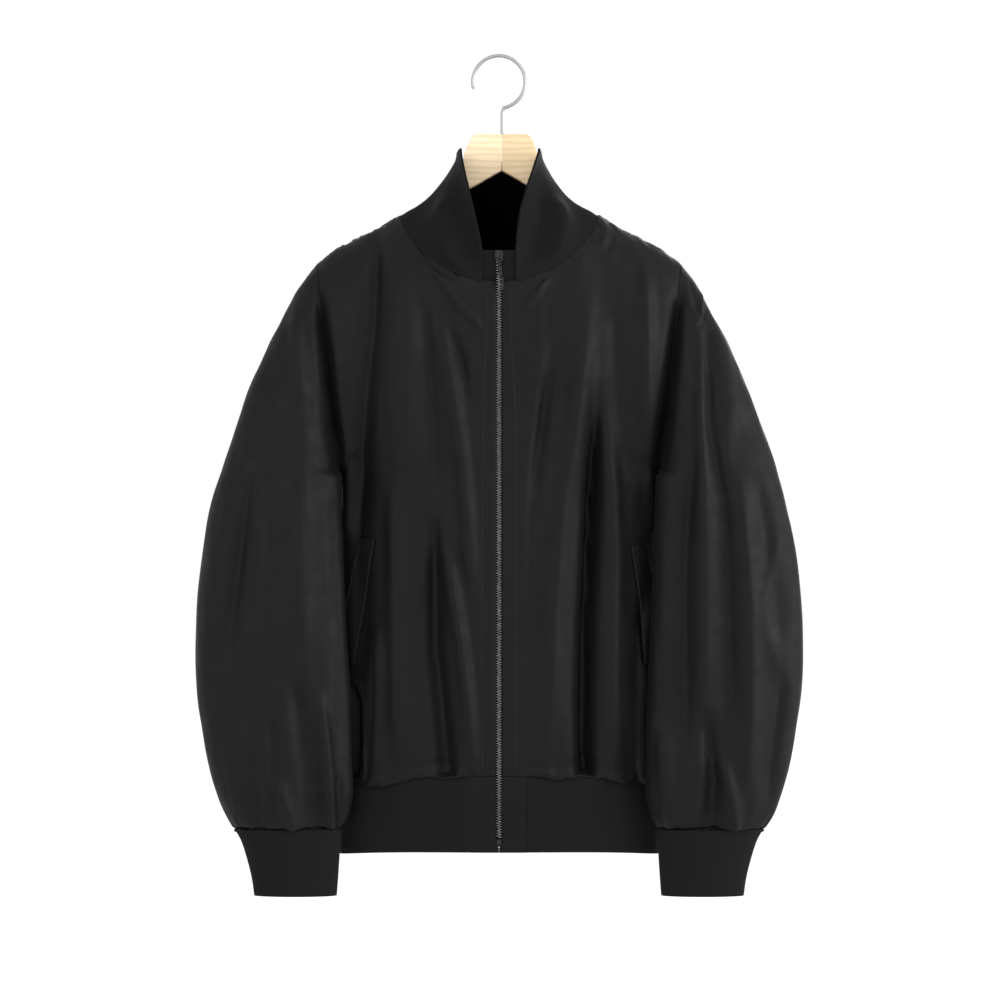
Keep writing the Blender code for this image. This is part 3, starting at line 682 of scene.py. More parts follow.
# ---------------------------------------------------------------- surfaces
class Surface:
    """A bent sheet given by two running numbers, raised along its outward normal."""

    top_v = 1.0

    def base(self, u: Array, v: Array) -> Array:
        """Points of the plain form, in millimetres."""
        raise NotImplementedError

    def rise(self, points: Array, u: Array, v: Array) -> Array:
        """How far the creases lift the plain form."""
        return np.zeros(u.shape)

    def settle(self, points: Array, u: Array, v: Array) -> Array:
        """Last correction of the raised points."""
        return points

    def outward(self, u: Array, v: Array) -> Array:
        """Unit normals of the plain form, away from the wearer.

        Args:
            u: Running numbers across.
            v: Running numbers along.

        Returns:
            One normal for each place.
        """
        step = 0.002
        by_u = self.base(np.minimum(u + step, 1.0), v) - self.base(np.maximum(u - step, 0.0), v)
        after, before = np.minimum(v + step, self.top_v), np.maximum(v - step, 0.0)
        by_v = self.base(u, after) - self.base(u, before)
        normal = np.cross(by_u, by_v)
        normal /= np.maximum(np.linalg.norm(normal, axis=-1, keepdims=True), 1e-9)
        return normal * self.turn(u)[..., None]

    def turn(self, u: Array) -> Array:
        """1 where the two running numbers give the outward normal, and -1 where they don't."""
        return np.ones(u.shape)

    def at(self, u: Array, v: Array, lift: float = 0.0) -> Array:
        """Points of the creased surface.

        Args:
            u: Running numbers across.
            v: Running numbers along.
            lift: Distance off the surface, in millimetres.

        Returns:
            Points in millimetres.
        """
        u, v = np.broadcast_arrays(np.asarray(u, float), np.asarray(v, float))
        points = self.base(u, v)
        height = self.rise(points, u, v) + lift
        points = self.settle(points + self.outward(u, v) * height[..., None], u, v)
        return crowned(ARMHOLE.tucked(points))


def in_scene(name: str, data: bpy.types.ID) -> bpy.types.Object:
    """Make an object of a mesh, curve, lamp or camera, and link it to the scene.

    Args:
        name: Name of the object.
        data: What it shows.

    Returns:
        The new object.
    """
    item = bpy.data.objects.new(name, data)
    bpy.context.scene.collection.objects.link(item)
    return item


def mesh_piece(name: str, work: bmesh.types.BMesh) -> bpy.types.Object:
    """Turn a finished piece of mesh work into an object.

    Args:
        name: Name of the piece.
        work: The work, which is freed.

    Returns:
        The new object, linked to the scene.
    """
    mesh = bpy.data.meshes.new(name)
    work.to_mesh(mesh)
    work.free()
    return in_scene(name, mesh)


def grid_piece(name: str, points: Array, around: bool = False, flip: bool = False,
               parted: int | None = None) -> bpy.types.Object:
    """Make a smooth mesh from rows of points, with its threads laid out in metres as UVs.

    Args:
        name: Name of the piece.
        points: Rows by columns by 3, in millimetres.
        around: True joins the last column to the first.
        flip: True turns the faces over.
        parted: The column whose far side has no faces, where two halves meet. Their points are
            joined where they lie on one another.

    Returns:
        The new object, linked to the scene.
    """
    rows, columns = points.shape[:2]
    across = np.linalg.norm(np.diff(points, axis=1, append=points[:, :1]), axis=2)
    up = np.linalg.norm(np.diff(points, axis=0, prepend=points[:1]), axis=2)
    u = np.cumsum(np.column_stack((np.zeros(rows), across)), axis=1).mean(axis=0) * MM
    v = np.cumsum(up, axis=0).mean(axis=1) * MM
    spans = columns if around else columns - 1
    faces, places = [], []
    for row in range(rows - 1):
        for left in range(spans):
            if left == parted:
                continue
            right = (left + 1) % columns
            face = [row * columns + left, row * columns + right,
                    (row + 1) * columns + right, (row + 1) * columns + left]
            place = [(u[left], v[row]), (u[left + 1], v[row]),
                     (u[left + 1], v[row + 1]), (u[left], v[row + 1])]
            faces.append(face[::-1] if flip else face)
            places.extend(place[::-1] if flip else place)
    mesh = bpy.data.meshes.new(name)
    mesh.from_pydata((points.reshape(-1, 3) * MM).tolist(), [], faces)
    layer = mesh.uv_layers.new(name="Threads")
    layer.data.foreach_set("uv", np.array(places).ravel())
    if parted is not None:
        work = bmesh.new()
        work.from_mesh(mesh)
        bmesh.ops.remove_doubles(work, verts=work.verts, dist=WELD * MM)
        work.to_mesh(mesh)
        work.free()
    mesh.shade_smooth()
    return in_scene(name, mesh)


def ease_edges(item: bpy.types.Object, radius: float) -> None:
    """Round the sharp edges of a piece.

    Args:
        item: The piece.
        radius: Radius of the rounding, in millimetres.
    """
    bevel = item.modifiers.new("Eased edge", "BEVEL")
    bevel.width = radius * MM
    bevel.segments = 3
    bevel.limit_method = "ANGLE"
    bevel.angle_limit = math.radians(50)


def thicken(item: bpy.types.Object, wall: float, rounding: float = 0.0) -> None:
    """Turn a sheet into cloth of a thickness, half on either side, with rounded edges if asked.

    Args:
        item: The sheet.
        wall: Its thickness, in millimetres.
        rounding: Radius at the edges.
    """
    solidify = item.modifiers.new("Wall", "SOLIDIFY")
    solidify.thickness = wall * MM
    solidify.offset = 0.0
    if rounding:
        ease_edges(item, rounding)


# ---------------------------------------------------------------- forms shared by the pieces
@dataclass(frozen=True)
class JacketForm:
    """Sizes and lines that several pieces share, in millimetres."""

    neck_half: float = 104.0
    neck_z: float = -166.0
    neck_y: float = -1.0
    front_neck_z: float = -240.0
    front_neck_y: float = -60.0
    back_neck_z: float = -188.0
    back_neck_y: float = 46.0
    armhole_z: float = -436.0
    middle_z: float = -385.0
    hem_seam_z: float = -757.0
    hem_height: float = 80.0
    zip_edge: float = 3.4
    front_neck_start: float = 0.019
    rest_gap: float = 5.0
    seam_gap: float = 0.25
    hem_dips: tuple[tuple[float, float, float], ...] = ((-127.0, 26.0, 9.0), (148.0, 26.0, 9.0))
    body: Stations = Stations(
        ("z", "half", "front", "back", "side"),
        ((-757, 168, -45, 34, 12),
         (-735, 174, -50, 41, 15),
         (-690, 178, -53, 45, 17),
         (-600, 178, -53, 46, 17),
         (-520, 175, -53, 46, 15),
         (-485, 171.5, -53, 46, 12),
         (-460, 168.5, -53.5, 46, 6),
         (-436, 168, -54, 46, -4),
         (-330, 168, -56, 48, -4),
         (-240, 168, -60, 48, -4)))
    sleeve: Stations = Stations(
        ("out_x", "out_z", "in_x", "in_z", "front", "back", "mid"),
        ((192, -229, 168, -436, 37, 39, -4),
         (211, -250, 168.5, -442, 38, 37, -9),
         (229, -281, 168, -449, 39, 35, -14),
         (247, -315, 167.5, -457, 40, 34, -18),
         (263, -353, 167, -467, 40, 33, -21),
         (278, -397, 166.5, -479, 40, 33, -23),
         (291, -438, 165.5, -495, 40, 33, -25),
         (303, -480, 164.5, -515, 40, 33, -26),
         (311, -521, 163.5, -541, 40, 33, -27),
         (316.5, -567, 162.5, -575, 40, 33, -27),
         (318.5, -618, 160.5, -618, 40, 33, -28),
         (317, -666, 158, -666, 39, 32, -28),
         (311, -709, 157, -709, 38, 31, -28),
         (303, -750, 156, -748, 37, 30, -28),
         (293, -785, 156, -780, 34, 28, -28),
         (284, -804, 160, -802, 29, 25, -28),
         (278, -813, 166, -812, 25, 22, -28)))
    cuff: Stations = Stations(
        ("out_x", "out_z", "in_x", "in_z", "front", "back", "mid"),
        ((276.5, -813, 167, -813, 24, 21, -28),
         (269, -826, 168, -826, 23, 20, -28),
         (262, -848, 169.5, -848, 21, 18, -28),
         (258, -866, 170.5, -866, 20, 17, -28),
         (256, -883, 171.5, -883, 19, 16, -28)))

    def hem_line(self, x: Array) -> Array:
        """Height of the hem seam at a distance from the middle."""
        dips = (depth * np.exp(-(((x - at) / width) ** 2)) for at, width, depth in self.hem_dips)
        return self.hem_seam_z - sum(dips)

    def neckline(self, turn: Array, is_front: bool, grow: float = 0.0) -> Array:
        """Points of the neckline's right half.

        Args:
            turn: 0 at the middle and 1 at the shoulder seam.
            is_front: True for the front's line, False for the back's.
            grow: Widens the line.

        Returns:
            Points in millimetres.
        """
        angle = np.clip(turn, 0.0, 1.0) * math.pi / 2
        middle_y = self.front_neck_y if is_front else self.back_neck_y
        middle_z = self.front_neck_z if is_front else self.back_neck_z
        power = 2 / (1.7 if is_front else 2.0)
        cosine = np.maximum(np.cos(angle), 0.0)
        return np.stack(((self.neck_half + grow) * np.sin(angle) ** power,
                         mix(self.neck_y, middle_y, cosine**0.8),
                         mix(self.neck_z, middle_z - grow, cosine**power)), axis=-1)

    def ring(self, table: Stations, place: Array, angle: Array) -> Array:
        """Points of a sleeve's or cuff's ring on the right. The front comes first.

        Args:
            table: The sleeve's or the cuff's stations.
            place: Running row numbers.
            angle: 0 at the outer point, in radians.

        Returns:
            Points in millimetres.
        """
        along = (1.0 - np.cos(angle)) / 2.0
        depth = np.where(np.sin(angle) > 0, table.read("front", place), table.read("back", place))
        x, z = (mix(table.read(f"out_{axis}", place), table.read(f"in_{axis}", place), along)
                for axis in "xz")
        return np.stack((x, table.read("mid", place) - depth * np.sin(angle), z), axis=-1)

    def hem_point(self, u: Array, v: Array, start_x: float | Array) -> Array:
        """Points of the hem band.

        Args:
            u: Runs round from the front's left end past the back.
            v: Runs from 0 at the foot to 1 at the seam.
            start_x: Distance of the band's ends from the middle.

        Returns:
            Points in millimetres.
        """
        half = self.body.at("half", self.hem_seam_z)
        start = np.arcsin(start_x / half)
        angle = mix(start, math.tau - start, u)
        front, back = (self.body.at(name, self.hem_seam_z) for name in ("front", "back"))
        side = self.body.at("side", self.hem_seam_z)
        reach = np.where(np.cos(angle) > 0, side - front, back - side)
        x = -half * np.sin(angle)
        y = side - reach * np.cos(angle)
        low = self.hem_seam_z - self.hem_height - 5.0 * (x / half) ** 4
        top = self.hem_line(x) - self.seam_gap
        return np.stack((x, mix(y * 0.94, y, v), mix(low, top, v)), axis=-1)

    def zip_line_y(self, z: Array) -> Array:
        """How far forward the zip's line stands.

        Args:
            z: Heights along the zip.

        Returns:
            The y of the zip's line at each.
        """
        in_band = (z - self.hem_seam_z + self.hem_height) / self.hem_height
        low = self.hem_point(np.zeros_like(z), in_band, self.zip_edge)[..., 1]
        high = np.maximum(self.body.at("front", z), self.front_neck_y)
        return np.where(z < self.hem_seam_z, low, high)


# ---------------------------------------------------------------- woven panels
@dataclass(frozen=True)
class Panel(Surface):
    """One half of the front or back.

    u runs from the middle to the side. v runs from 0 at the hem seam to 1 at the underarm and 2 at
    the shoulder seam. The three lengths turn them into millimetres along the cloth.
    """

    form: JacketForm
    is_front: bool
    side: Side
    creases: tuple[Crease, ...]
    lower_length: float = 321.0
    upper_length: float = 250.0
    width: float = 170.0
    top_v = 2.0

    def inner(self, v: Array) -> Array:
        """The middle line, then the neckline.

        Args:
            v: Running numbers along.

        Returns:
            Points in millimetres.
        """
        form = self.form
        start = form.front_neck_start if self.is_front else 0.0
        top_z = (form.front_neck_z if self.is_front else form.back_neck_z) - form.seam_gap
        neck = form.neckline(mix(start, 1.0, (v - 1.5) * 2), self.is_front, form.seam_gap)
        z = np.where(v < 1.0, mix(form.hem_seam_z, form.middle_z, v),
                     mix(form.middle_z, top_z, 2 * (v - 1.0)))
        end_y = form.neckline(np.array(start), self.is_front, form.seam_gap)[1]
        y = mix(form.body.at("front" if self.is_front else "back", z), end_y, smooth(1.0, 1.5, v))
        x = np.full(v.shape, form.zip_edge if self.is_front else 0.0)
        return np.where((v > 1.5)[..., None], neck, np.stack((x, y, z), axis=-1))

    def outer(self, v: Array) -> Array:
        """The side seam, then the armhole.

        Args:
            v: Running numbers along.

        Returns:
            Points in millimetres.
        """
        form = self.form
        z = mix(form.hem_seam_z, form.armhole_z, v)
        side = np.stack((form.body.at("half", z), form.body.at("side", z), z), axis=-1)
        angle = math.pi * (2.0 - v) * (1.0 if self.is_front else -1.0)
        armhole = form.ring(form.sleeve, np.zeros_like(v), angle)
        return np.where((v > 1.0)[..., None], armhole, side)

    def base(self, u: Array, v: Array) -> Array:
        """Points of the plain panel, eased where its outline turns a corner.

        Args:
            u: Running numbers across.
            v: Running numbers along.

        Returns:
            Points in millimetres.
        """
        near_side = smooth(0.0, 0.3, 1.0 - u) * (1.0 - smooth(0.0, 0.3, np.abs(v - 1.0)))
        near_zip = smooth(0.0, 0.3, u) * (1.0 - smooth(0.0, 0.3, np.abs(v - 1.5)))
        ease = 0.10 * np.maximum(near_side, near_zip)
        return sum(weight * self.stretched(u, v + shift * ease) for shift, weight in
                   ((-1.0, 0.15), (-0.5, 0.22), (0.0, 0.26), (0.5, 0.22), (1.0, 0.15)))

    def stretched(self, u: Array, v: Array) -> Array:
        """Points stretched between the panel's inner and outer lines.

        Args:
            u: Running numbers across.
            v: Running numbers along.

        Returns:
            Points in millimetres.
        """
        form = self.form
        start, stop = self.inner(v), self.outer(v)
        rounded = 1.0 - smooth(1.05, 1.40, v)
        near_arm = smooth(0.6, 0.9, v) * (1.0 - smooth(1.1, 1.3, v))
        u = u * (1.0 - mix(0.0012, 0.004, near_arm))
        across = mix(u, np.sin(u * math.pi / 2), rounded)
        depth = mix(1.0 - u * u, np.cos(u * math.pi / 2), rounded)
        x = self.side.value * mix(start[..., 0], stop[..., 0], across)
        y = mix(stop[..., 1], start[..., 1], depth)
        z = mix(start[..., 2], stop[..., 2], across)
        z = z + (form.hem_line(x) - form.hem_seam_z) * (1.0 - smooth(0.0, 0.2, v))
        return np.stack((x, y, z), axis=-1)

    def turn(self, u: Array) -> Array:
        """The front's right half and the back's left half turn outward as they run."""
        front = 1.0 if self.is_front else -1.0
        return np.full(u.shape, front * self.side.value)

    def rise(self, points: Array, u: Array, v: Array) -> Array:
        """Creases, gathers at the hem, and the roll of the cloth into its seams.

        Args:
            points: Points of the plain panel.
            u: Running numbers across.
            v: Running numbers along.

        Returns:
            How far each point is lifted, in millimetres.
        """
        x, z = points[..., 0], points[..., 2]
        from_hem, from_top = v * self.lower_length, (2.0 - v) * self.upper_length
        from_side, across = (1.0 - u) * self.width, u * self.width
        from_neck = np.where(v > 1.5, across, FAR)
        from_middle = np.where((v < 1.5) & self.is_front, across, FAR)
        calm = (1.0 - smooth(0.93, 1.0, u)) * smooth(0.0, 0.011, v) * (1.0 - smooth(1.85, 2.0, v))
        height = calm * total_rise(self.creases, x, z)
        if self.is_front:
            height *= np.where(height < 0, smooth(0.08, 0.17, u), smooth(0.05, 0.12, u))
        seed = 3.0 + self.side.value if self.is_front else 12.0
        still = smooth(4.0, 30.0, np.minimum(from_middle, from_side))
        height += still * 1.5 * drape_noise(points, 24.0, 300.0, seed)
        height += still * 0.45 * drape_noise(points, 8.0, 60.0, seed + 5.0)
        gathers = uneven_wave(x, 15.0, int(seed * 7)) * smooth(6.0, 24.0, from_middle)
        height += 1.3 * gathers * np.exp(-from_hem / 22.0) * smooth(0.0, 3.0, from_hem)
        height += 3.2 * np.exp(-(((from_hem - 3.0) / 5.0) ** 2)) * smooth(6.0, 30.0, from_middle)
        pucker = uneven_wave(x + 0.7 * z, 11.0, int(seed * 11))
        edge = np.minimum(from_neck, from_top)
        height += 0.9 * pucker * np.exp(-edge / 9.0) * smooth(0.0, 2.0, edge)
        arm = np.where(v > 1.0, from_side, FAR)
        height += (0.4 * uneven_wave(z, 17.0, int(seed * 13)) * np.exp(-arm / 10.0)
                   * smooth(0.0, 3.0, arm))
        for distance, depth, reach in ((from_top, 0.5, 1.2), (from_side, 0.4, 1.2),
                                       (from_neck, 0.3, 1.5), (from_middle, 1.0, 0.9)):
            height -= depth * np.exp(-((distance / reach) ** 2))
        return height

    def settle(self, points: Array, u: Array, v: Array) -> Array:
        """Let small puffs of the lower edge hang over the band's seam.

        Args:
            points: Points of the creased panel.
            u: Running numbers across.
            v: Running numbers along.

        Returns:
            The moved points.
        """
        x = points[..., 0]
        droop = 2.6 + 1.4 * uneven_wave(x, 21.0, 77) + 2.6 * uneven_wave(x, 58.0, 78)
        droop *= np.exp(-((v * self.lower_length / 9.0) ** 2))
        if self.is_front:
            droop *= smooth(0.12, 0.25, u)
        return points - droop[..., None] * UP

    def find(self, x: Array, z: Array) -> tuple[Array, Array]:
        """Find the running numbers of the points at places of the front view.

        Args:
            x: Distances from the middle, signed.
            z: Heights.

        Returns:
            The running numbers u and v.
        """
        u, v, step = np.full(x.shape, 0.6), np.full(x.shape, 0.4), 1e-3
        for _ in range(25):
            here = self.base(u, v)
            by_u = (self.base(u + step, v) - here) / step
            by_v = (self.base(u, v + step) - here) / step
            area = by_u[..., 0] * by_v[..., 2] - by_v[..., 0] * by_u[..., 2]
            miss_x, miss_z = x - here[..., 0], z - here[..., 2]
            u = u + (miss_x * by_v[..., 2] - miss_z * by_v[..., 0]) / area
            v = v + (miss_z * by_u[..., 0] - miss_x * by_u[..., 2]) / area
            u, v = np.clip(u, 0.01, 0.99), np.clip(v, 0.01, 1.9)
        return u, v


FRONT_CREASES = (
    # left front, from the sleeve to the zip
    Crease(((-127, -160), (-133, -289), (-144, -394), (-156, -540)), 13, -12.0, 0.4),
    Crease(((-102, -190), (-102, -384), (-104, -500)), 17, 6.5, 0.0),
    Crease(((-80, -236), (-71, -363), (-66, -500)), 8, -5.5, 0.2),
    Crease(((-84, -206), (-46, -258), (-8, -300)), 5, 4.5, 0.5),
    Crease(((-58, -262), (-35, -342), (-22, -394), (-8, -500)), 8, -6.5, 0.3),
    Crease(((-60, -276), (-43, -394), (-28, -510), (-14, -610)), 10, 7.0, 0.1),
    Crease(((-109, -430), (-108, -594), (-104, -775)), 12, 8.5, 0.3),
    Crease(((-70, -450), (-68, -625), (-60, -699), (-44, -900)), 9.5, -15.0, 0.0),
    Crease(((-57, -505), (-39, -625), (-28, -699), (-20, -785)), 9, 9.0, 0.3),
    Crease(((-48, -500), (-28, -594), (-10, -690)), 5, -5.0, 0.3),
    Crease(((-161, -640), (-157, -720), (-155, -770), (-157, -860)), 11, -17.0, 0.0),
    Crease(((-152, -450), (-146, -590), (-146, -760)), 14, -6.0, 0.0),
    Crease(((-127, -590), (-129, -690), (-130, -780)), 8, 5.0, 0.2),
    # right front, from the zip to the sleeve
    Crease(((62, -270), (45, -394), (30, -489), (22, -615), (20, -840)), 9, -10.0, 0.4),
    Crease(((98, -225), (83, -363), (66, -468), (56, -594), (50, -785)), 13, 10.0, 0.1),
    Crease(((103, -330), (98, -489), (93, -594), (91, -678), (92, -741), (98, -940)), 8, -25.0, 0.0,
           lean=0.1),
    Crease(((113, -370), (119, -531), (117, -657), (119, -790)), 12, 9.0, 0.1),
    Crease(((121, -250), (125, -363), (138, -470)), 11, -5.5, 0.1),
    Crease(((153, -215), (154, -321), (157, -430)), 10, 6.5, 0.1),
    Crease(((161, -550), (160, -660), (158, -760), (159, -860)), 15, -9.0, 0.0),
    # fullness of the cloth just below both underarms
    Crease(((-158, -425), (-161, -465), (-163, -520)), 8, 6.5, 0.0),
    Crease(((158, -425), (161, -462), (163, -515)), 8, 6.5, 0.0),
    # small folds by the collar seam and the shoulders
    Crease(((60, -222), (38, -252), (18, -278)), 3.4, 3.5, 0.6),
    Crease(((64, -214), (40, -243), (22, -266)), 3.0, -3.0, 0.6),
    Crease(((-66, -218), (-58, -232), (-40, -250)), 3.0, 2.0, 0.6),
    Crease(((-44, -238), (-36, -246), (-24, -262)), 2.6, -2.0, 0.6),
    Crease(((108, -168), (112, -184), (108, -204)), 4.0, 2.5, 0.5),
    Crease(((118, -174), (120, -192), (112, -212)), 4.0, -2.0, 0.5),
)
BACK_CREASES = (
    Crease(((-120, -230), (-132, -360), (-146, -500)), 13, -6.0, 0.2),
    Crease(((-96, -250), (-100, -420), (-96, -610)), 15, 6.0, 0.2),
    Crease(((-62, -450), (-56, -600), (-48, -757)), 11, -7.0, 0.35),
    Crease(((-22, -320), (-30, -520), (-24, -757)), 14, 6.0, 0.25),
    Crease(((22, -400), (14, -560), (16, -757)), 11, -6.5, 0.3),
    Crease(((56, -290), (66, -480), (62, -720)), 14, 6.0, 0.25),
    Crease(((98, -420), (92, -580), (90, -757)), 10, -8.0, 0.35),
    Crease(((128, -240), (138, -440), (134, -650)), 13, 5.5, 0.2),
    Crease(((-130, -540), (-132, -640), (-126, -757)), 11, 6.0, 0.3),
    Crease(((-60, -206), (-96, -226), (-150, -262)), 6, -3.0, 0.4),
    Crease(((64, -208), (104, -236), (160, -300)), 7, -3.5, 0.4),
    Crease(((-160, -300), (-120, -350), (-70, -380)), 8, 3.0, 0.4),
    Crease(((158, -340), (110, -400), (70, -430)), 8, 3.5, 0.4),
)


@dataclass
class Shell:
    """The woven fronts and back."""

    form: JacketForm
    wardrobe: Wardrobe
    # The inner face is painted near-black and almost without gloss: painted shade for the inside of
    # the neck.
    inside: SatinNylon = SatinNylon("nylon_inner_painted_shade", (0.0006, 0.0006, 0.0007),
                                    (0.0009, 0.0009, 0.001), specular=0.02, sheen=0.0)
    wall: float = 1.0
    front_columns: int = 84
    back_columns: int = 62
    lower_rows: int = 130
    upper_rows: int = 130

    def grid(self, columns: int) -> tuple[Array, Array]:
        """Running numbers of a panel's points, finer at its edges.

        Args:
            columns: How many steps go across.

        Returns:
            The numbers u and v of each point.
        """
        lower = packed_ends(2 * self.lower_rows, 0.6)[:self.lower_rows] * 2
        upper = packed_ends(2 * self.upper_rows, 0.6)[self.upper_rows:] * 2
        rows = np.concatenate((lower, upper))
        rows[np.argmin(np.abs(rows - 1.5))] = 1.5  # the corner of the neck
        return np.meshgrid(packed_ends(columns), rows)

    def front(self, side: Side) -> Panel:
        """The surface of one front."""
        return Panel(self.form, True, side, FRONT_CREASES)

    def build(self) -> None:
        """Make the two fronts and the back."""
        for side in Side:
            u, v = self.grid(self.front_columns)
            item = grid_piece(f"front_panel_{side.label}", self.front(side).at(u, v),
                              flip=side is Side.LEFT)
            self.finish(item, (0.205, 0.605), 0.1045, f"front_{side.label}")
        u, v = self.grid(self.back_columns)
        halves = [Panel(self.form, False, side, BACK_CREASES).at(u, v) for side in Side]
        whole = np.concatenate((halves[0][:, ::-1], halves[1]), axis=1)
        item = grid_piece("back_panel", whole, flip=True, parted=self.back_columns)
        self.finish(item, (0.40, 0.60), 0.215, "back")

    def finish(self, item: bpy.types.Object, flat: tuple[float, float], area: float,
               node: str) -> None:
        """Thicken and dress a panel, hide the solid that it stands for, and attach it to the
        jacket.

        Args:
            item: The panel.
            flat: Its cut, in metres. Not used.
            area: The cut's area, in square metres. Not used.
            node: The solid that it stands for.
        """
        thicken(item, self.wall)
        self.wardrobe.dress(item, SatinNylon(), self.inside)
        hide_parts(node)
        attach(item, "jacket")
        log.info("%s: %d faces", item.name, len(item.data.polygons))


# ---------------------------------------------------------------- sleeves
@dataclass(frozen=True)
class Sleeve(Surface):
    """A set-in sleeve. u runs round from the outer fold, front first, and v runs down."""

    form: JacketForm
    side: Side
    creases: tuple[Crease, ...]
    lap: float = 8.0
    length: float = 590.0
    girth: float = 270.0

    def base(self, u: Array, v: Array) -> Array:
        """Points of the plain sleeve, its inner front lapping over the body below the underarm.

        Args:
            u: Running numbers round the sleeve.
            v: Running numbers down it.

        Returns:
            Points in millimetres.
        """
        form = self.form
        angle = u * math.tau
        first, second = (form.ring(form.sleeve, np.full(u.shape, row), angle) for row in (0.0, 1.0))
        start = form.seam_gap / np.linalg.norm(second - first, axis=-1)
        points = form.ring(form.sleeve, mix(start, len(form.sleeve.rows) - 1.0, v), angle)
        inner_front = np.where((u > 0.25) & (u < 0.5), np.sin((u - 0.25) * 2 * math.tau), 0.0)
        below = form.armhole_z - points[..., 2]
        lap = 0.9 * smooth(-2.0, 8.0, below) + 0.1 * smooth(8.0, 70.0, below)
        points[..., 0] -= self.lap * inner_front * lap * (1.0 - smooth(0.85, 0.97, v))
        return points * np.array((self.side.value, 1.0, 1.0))

    def turn(self, u: Array) -> Array:
        """The left sleeve turns outward as it runs."""
        return np.full(u.shape, -self.side.value)

    def rise(self, points: Array, u: Array, v: Array) -> Array:
        """Creases, gathers at the cuff, and the roll of the cloth into its seams.

        Args:
            points: Points of the plain sleeve.
            u: Running numbers round the sleeve.
            v: Running numbers down it.

        Returns:
            How far each point is lifted, in millimetres.
        """
        x, z = points[..., 0], points[..., 2]
        forward = np.sin(u * math.tau)
        facing = np.maximum(forward, 0.0) + 0.6 * np.maximum(-forward, 0.0)
        round_place = u * self.girth
        from_arm, from_cuff = v * self.length, (1.0 - v) * self.length
        calm = smooth(0.0, 0.05, v) * (1.0 - 0.5 * smooth(0.97, 1.0, v))
        height = calm * facing**0.6 * total_rise(self.creases, x, z)
        seed = 20.0 + self.side.value
        still = smooth(0.0, 40.0, from_arm)
        height += still * 2.2 * drape_noise(points, 24.0, 260.0, seed)
        height += still * 0.6 * drape_noise(points, 9.0, 50.0, seed + 5.0)
        gathers = uneven_wave(round_place, self.girth / 17, int(seed * 3))
        height += 1.9 * gathers * np.exp(-from_cuff / 30.0) * smooth(0.0, 4.0, from_cuff)
        puckers = uneven_wave(round_place, self.girth / 22, int(seed * 5))
        height += 0.7 * puckers * np.exp(-from_arm / 16.0) * smooth(0.0, 3.0, from_arm)
        height += 3.4 * np.exp(-(((from_cuff - 4.0) / 6.0) ** 2))
        height *= smooth(0.0, 5.0, from_cuff)
        return height - 0.5 * np.exp(-((from_arm / 1.3) ** 2))

    def settle(self, points: Array, u: Array, v: Array) -> Array:
        """Keep the sleeve clear of the body's side, and let its puffs hang over the cuff's seam.

        Args:
            points: Points of the creased sleeve.
            u: Running numbers round the sleeve.
            v: Running numbers down it.

        Returns:
            The moved points.
        """
        form = self.form
        x, y, z = points[..., 0], points[..., 1], points[..., 2]
        gap = mix(-1.5, form.rest_gap, smooth(0.02, 0.25, v))
        edge = ARMHOLE.across(z) + gap * (1.0 - smooth(form.armhole_z, form.armhole_z + 50.0, z))
        side = form.body.at("side", z)
        reach = np.where(y < side, side - form.body.at("front", z), form.body.at("back", z) - side)
        size = np.hypot(x / (form.body.at("half", z) + gap), (y - side) / (reach + gap))
        push = np.maximum(1.0 / size, 1.0)
        high = z > form.armhole_z
        wide = np.sign(x) * np.maximum(np.abs(x), edge)
        droop = 2.2 + 1.8 * uneven_wave(u * self.girth, self.girth / 13, 5)
        droop = droop * np.exp(-(((1.0 - v) * self.length / 8.0) ** 2))
        x, y = np.where(high, wide, x * push), np.where(high, y, side + (y - side) * push)
        return np.stack((x, y, z - droop), axis=-1)


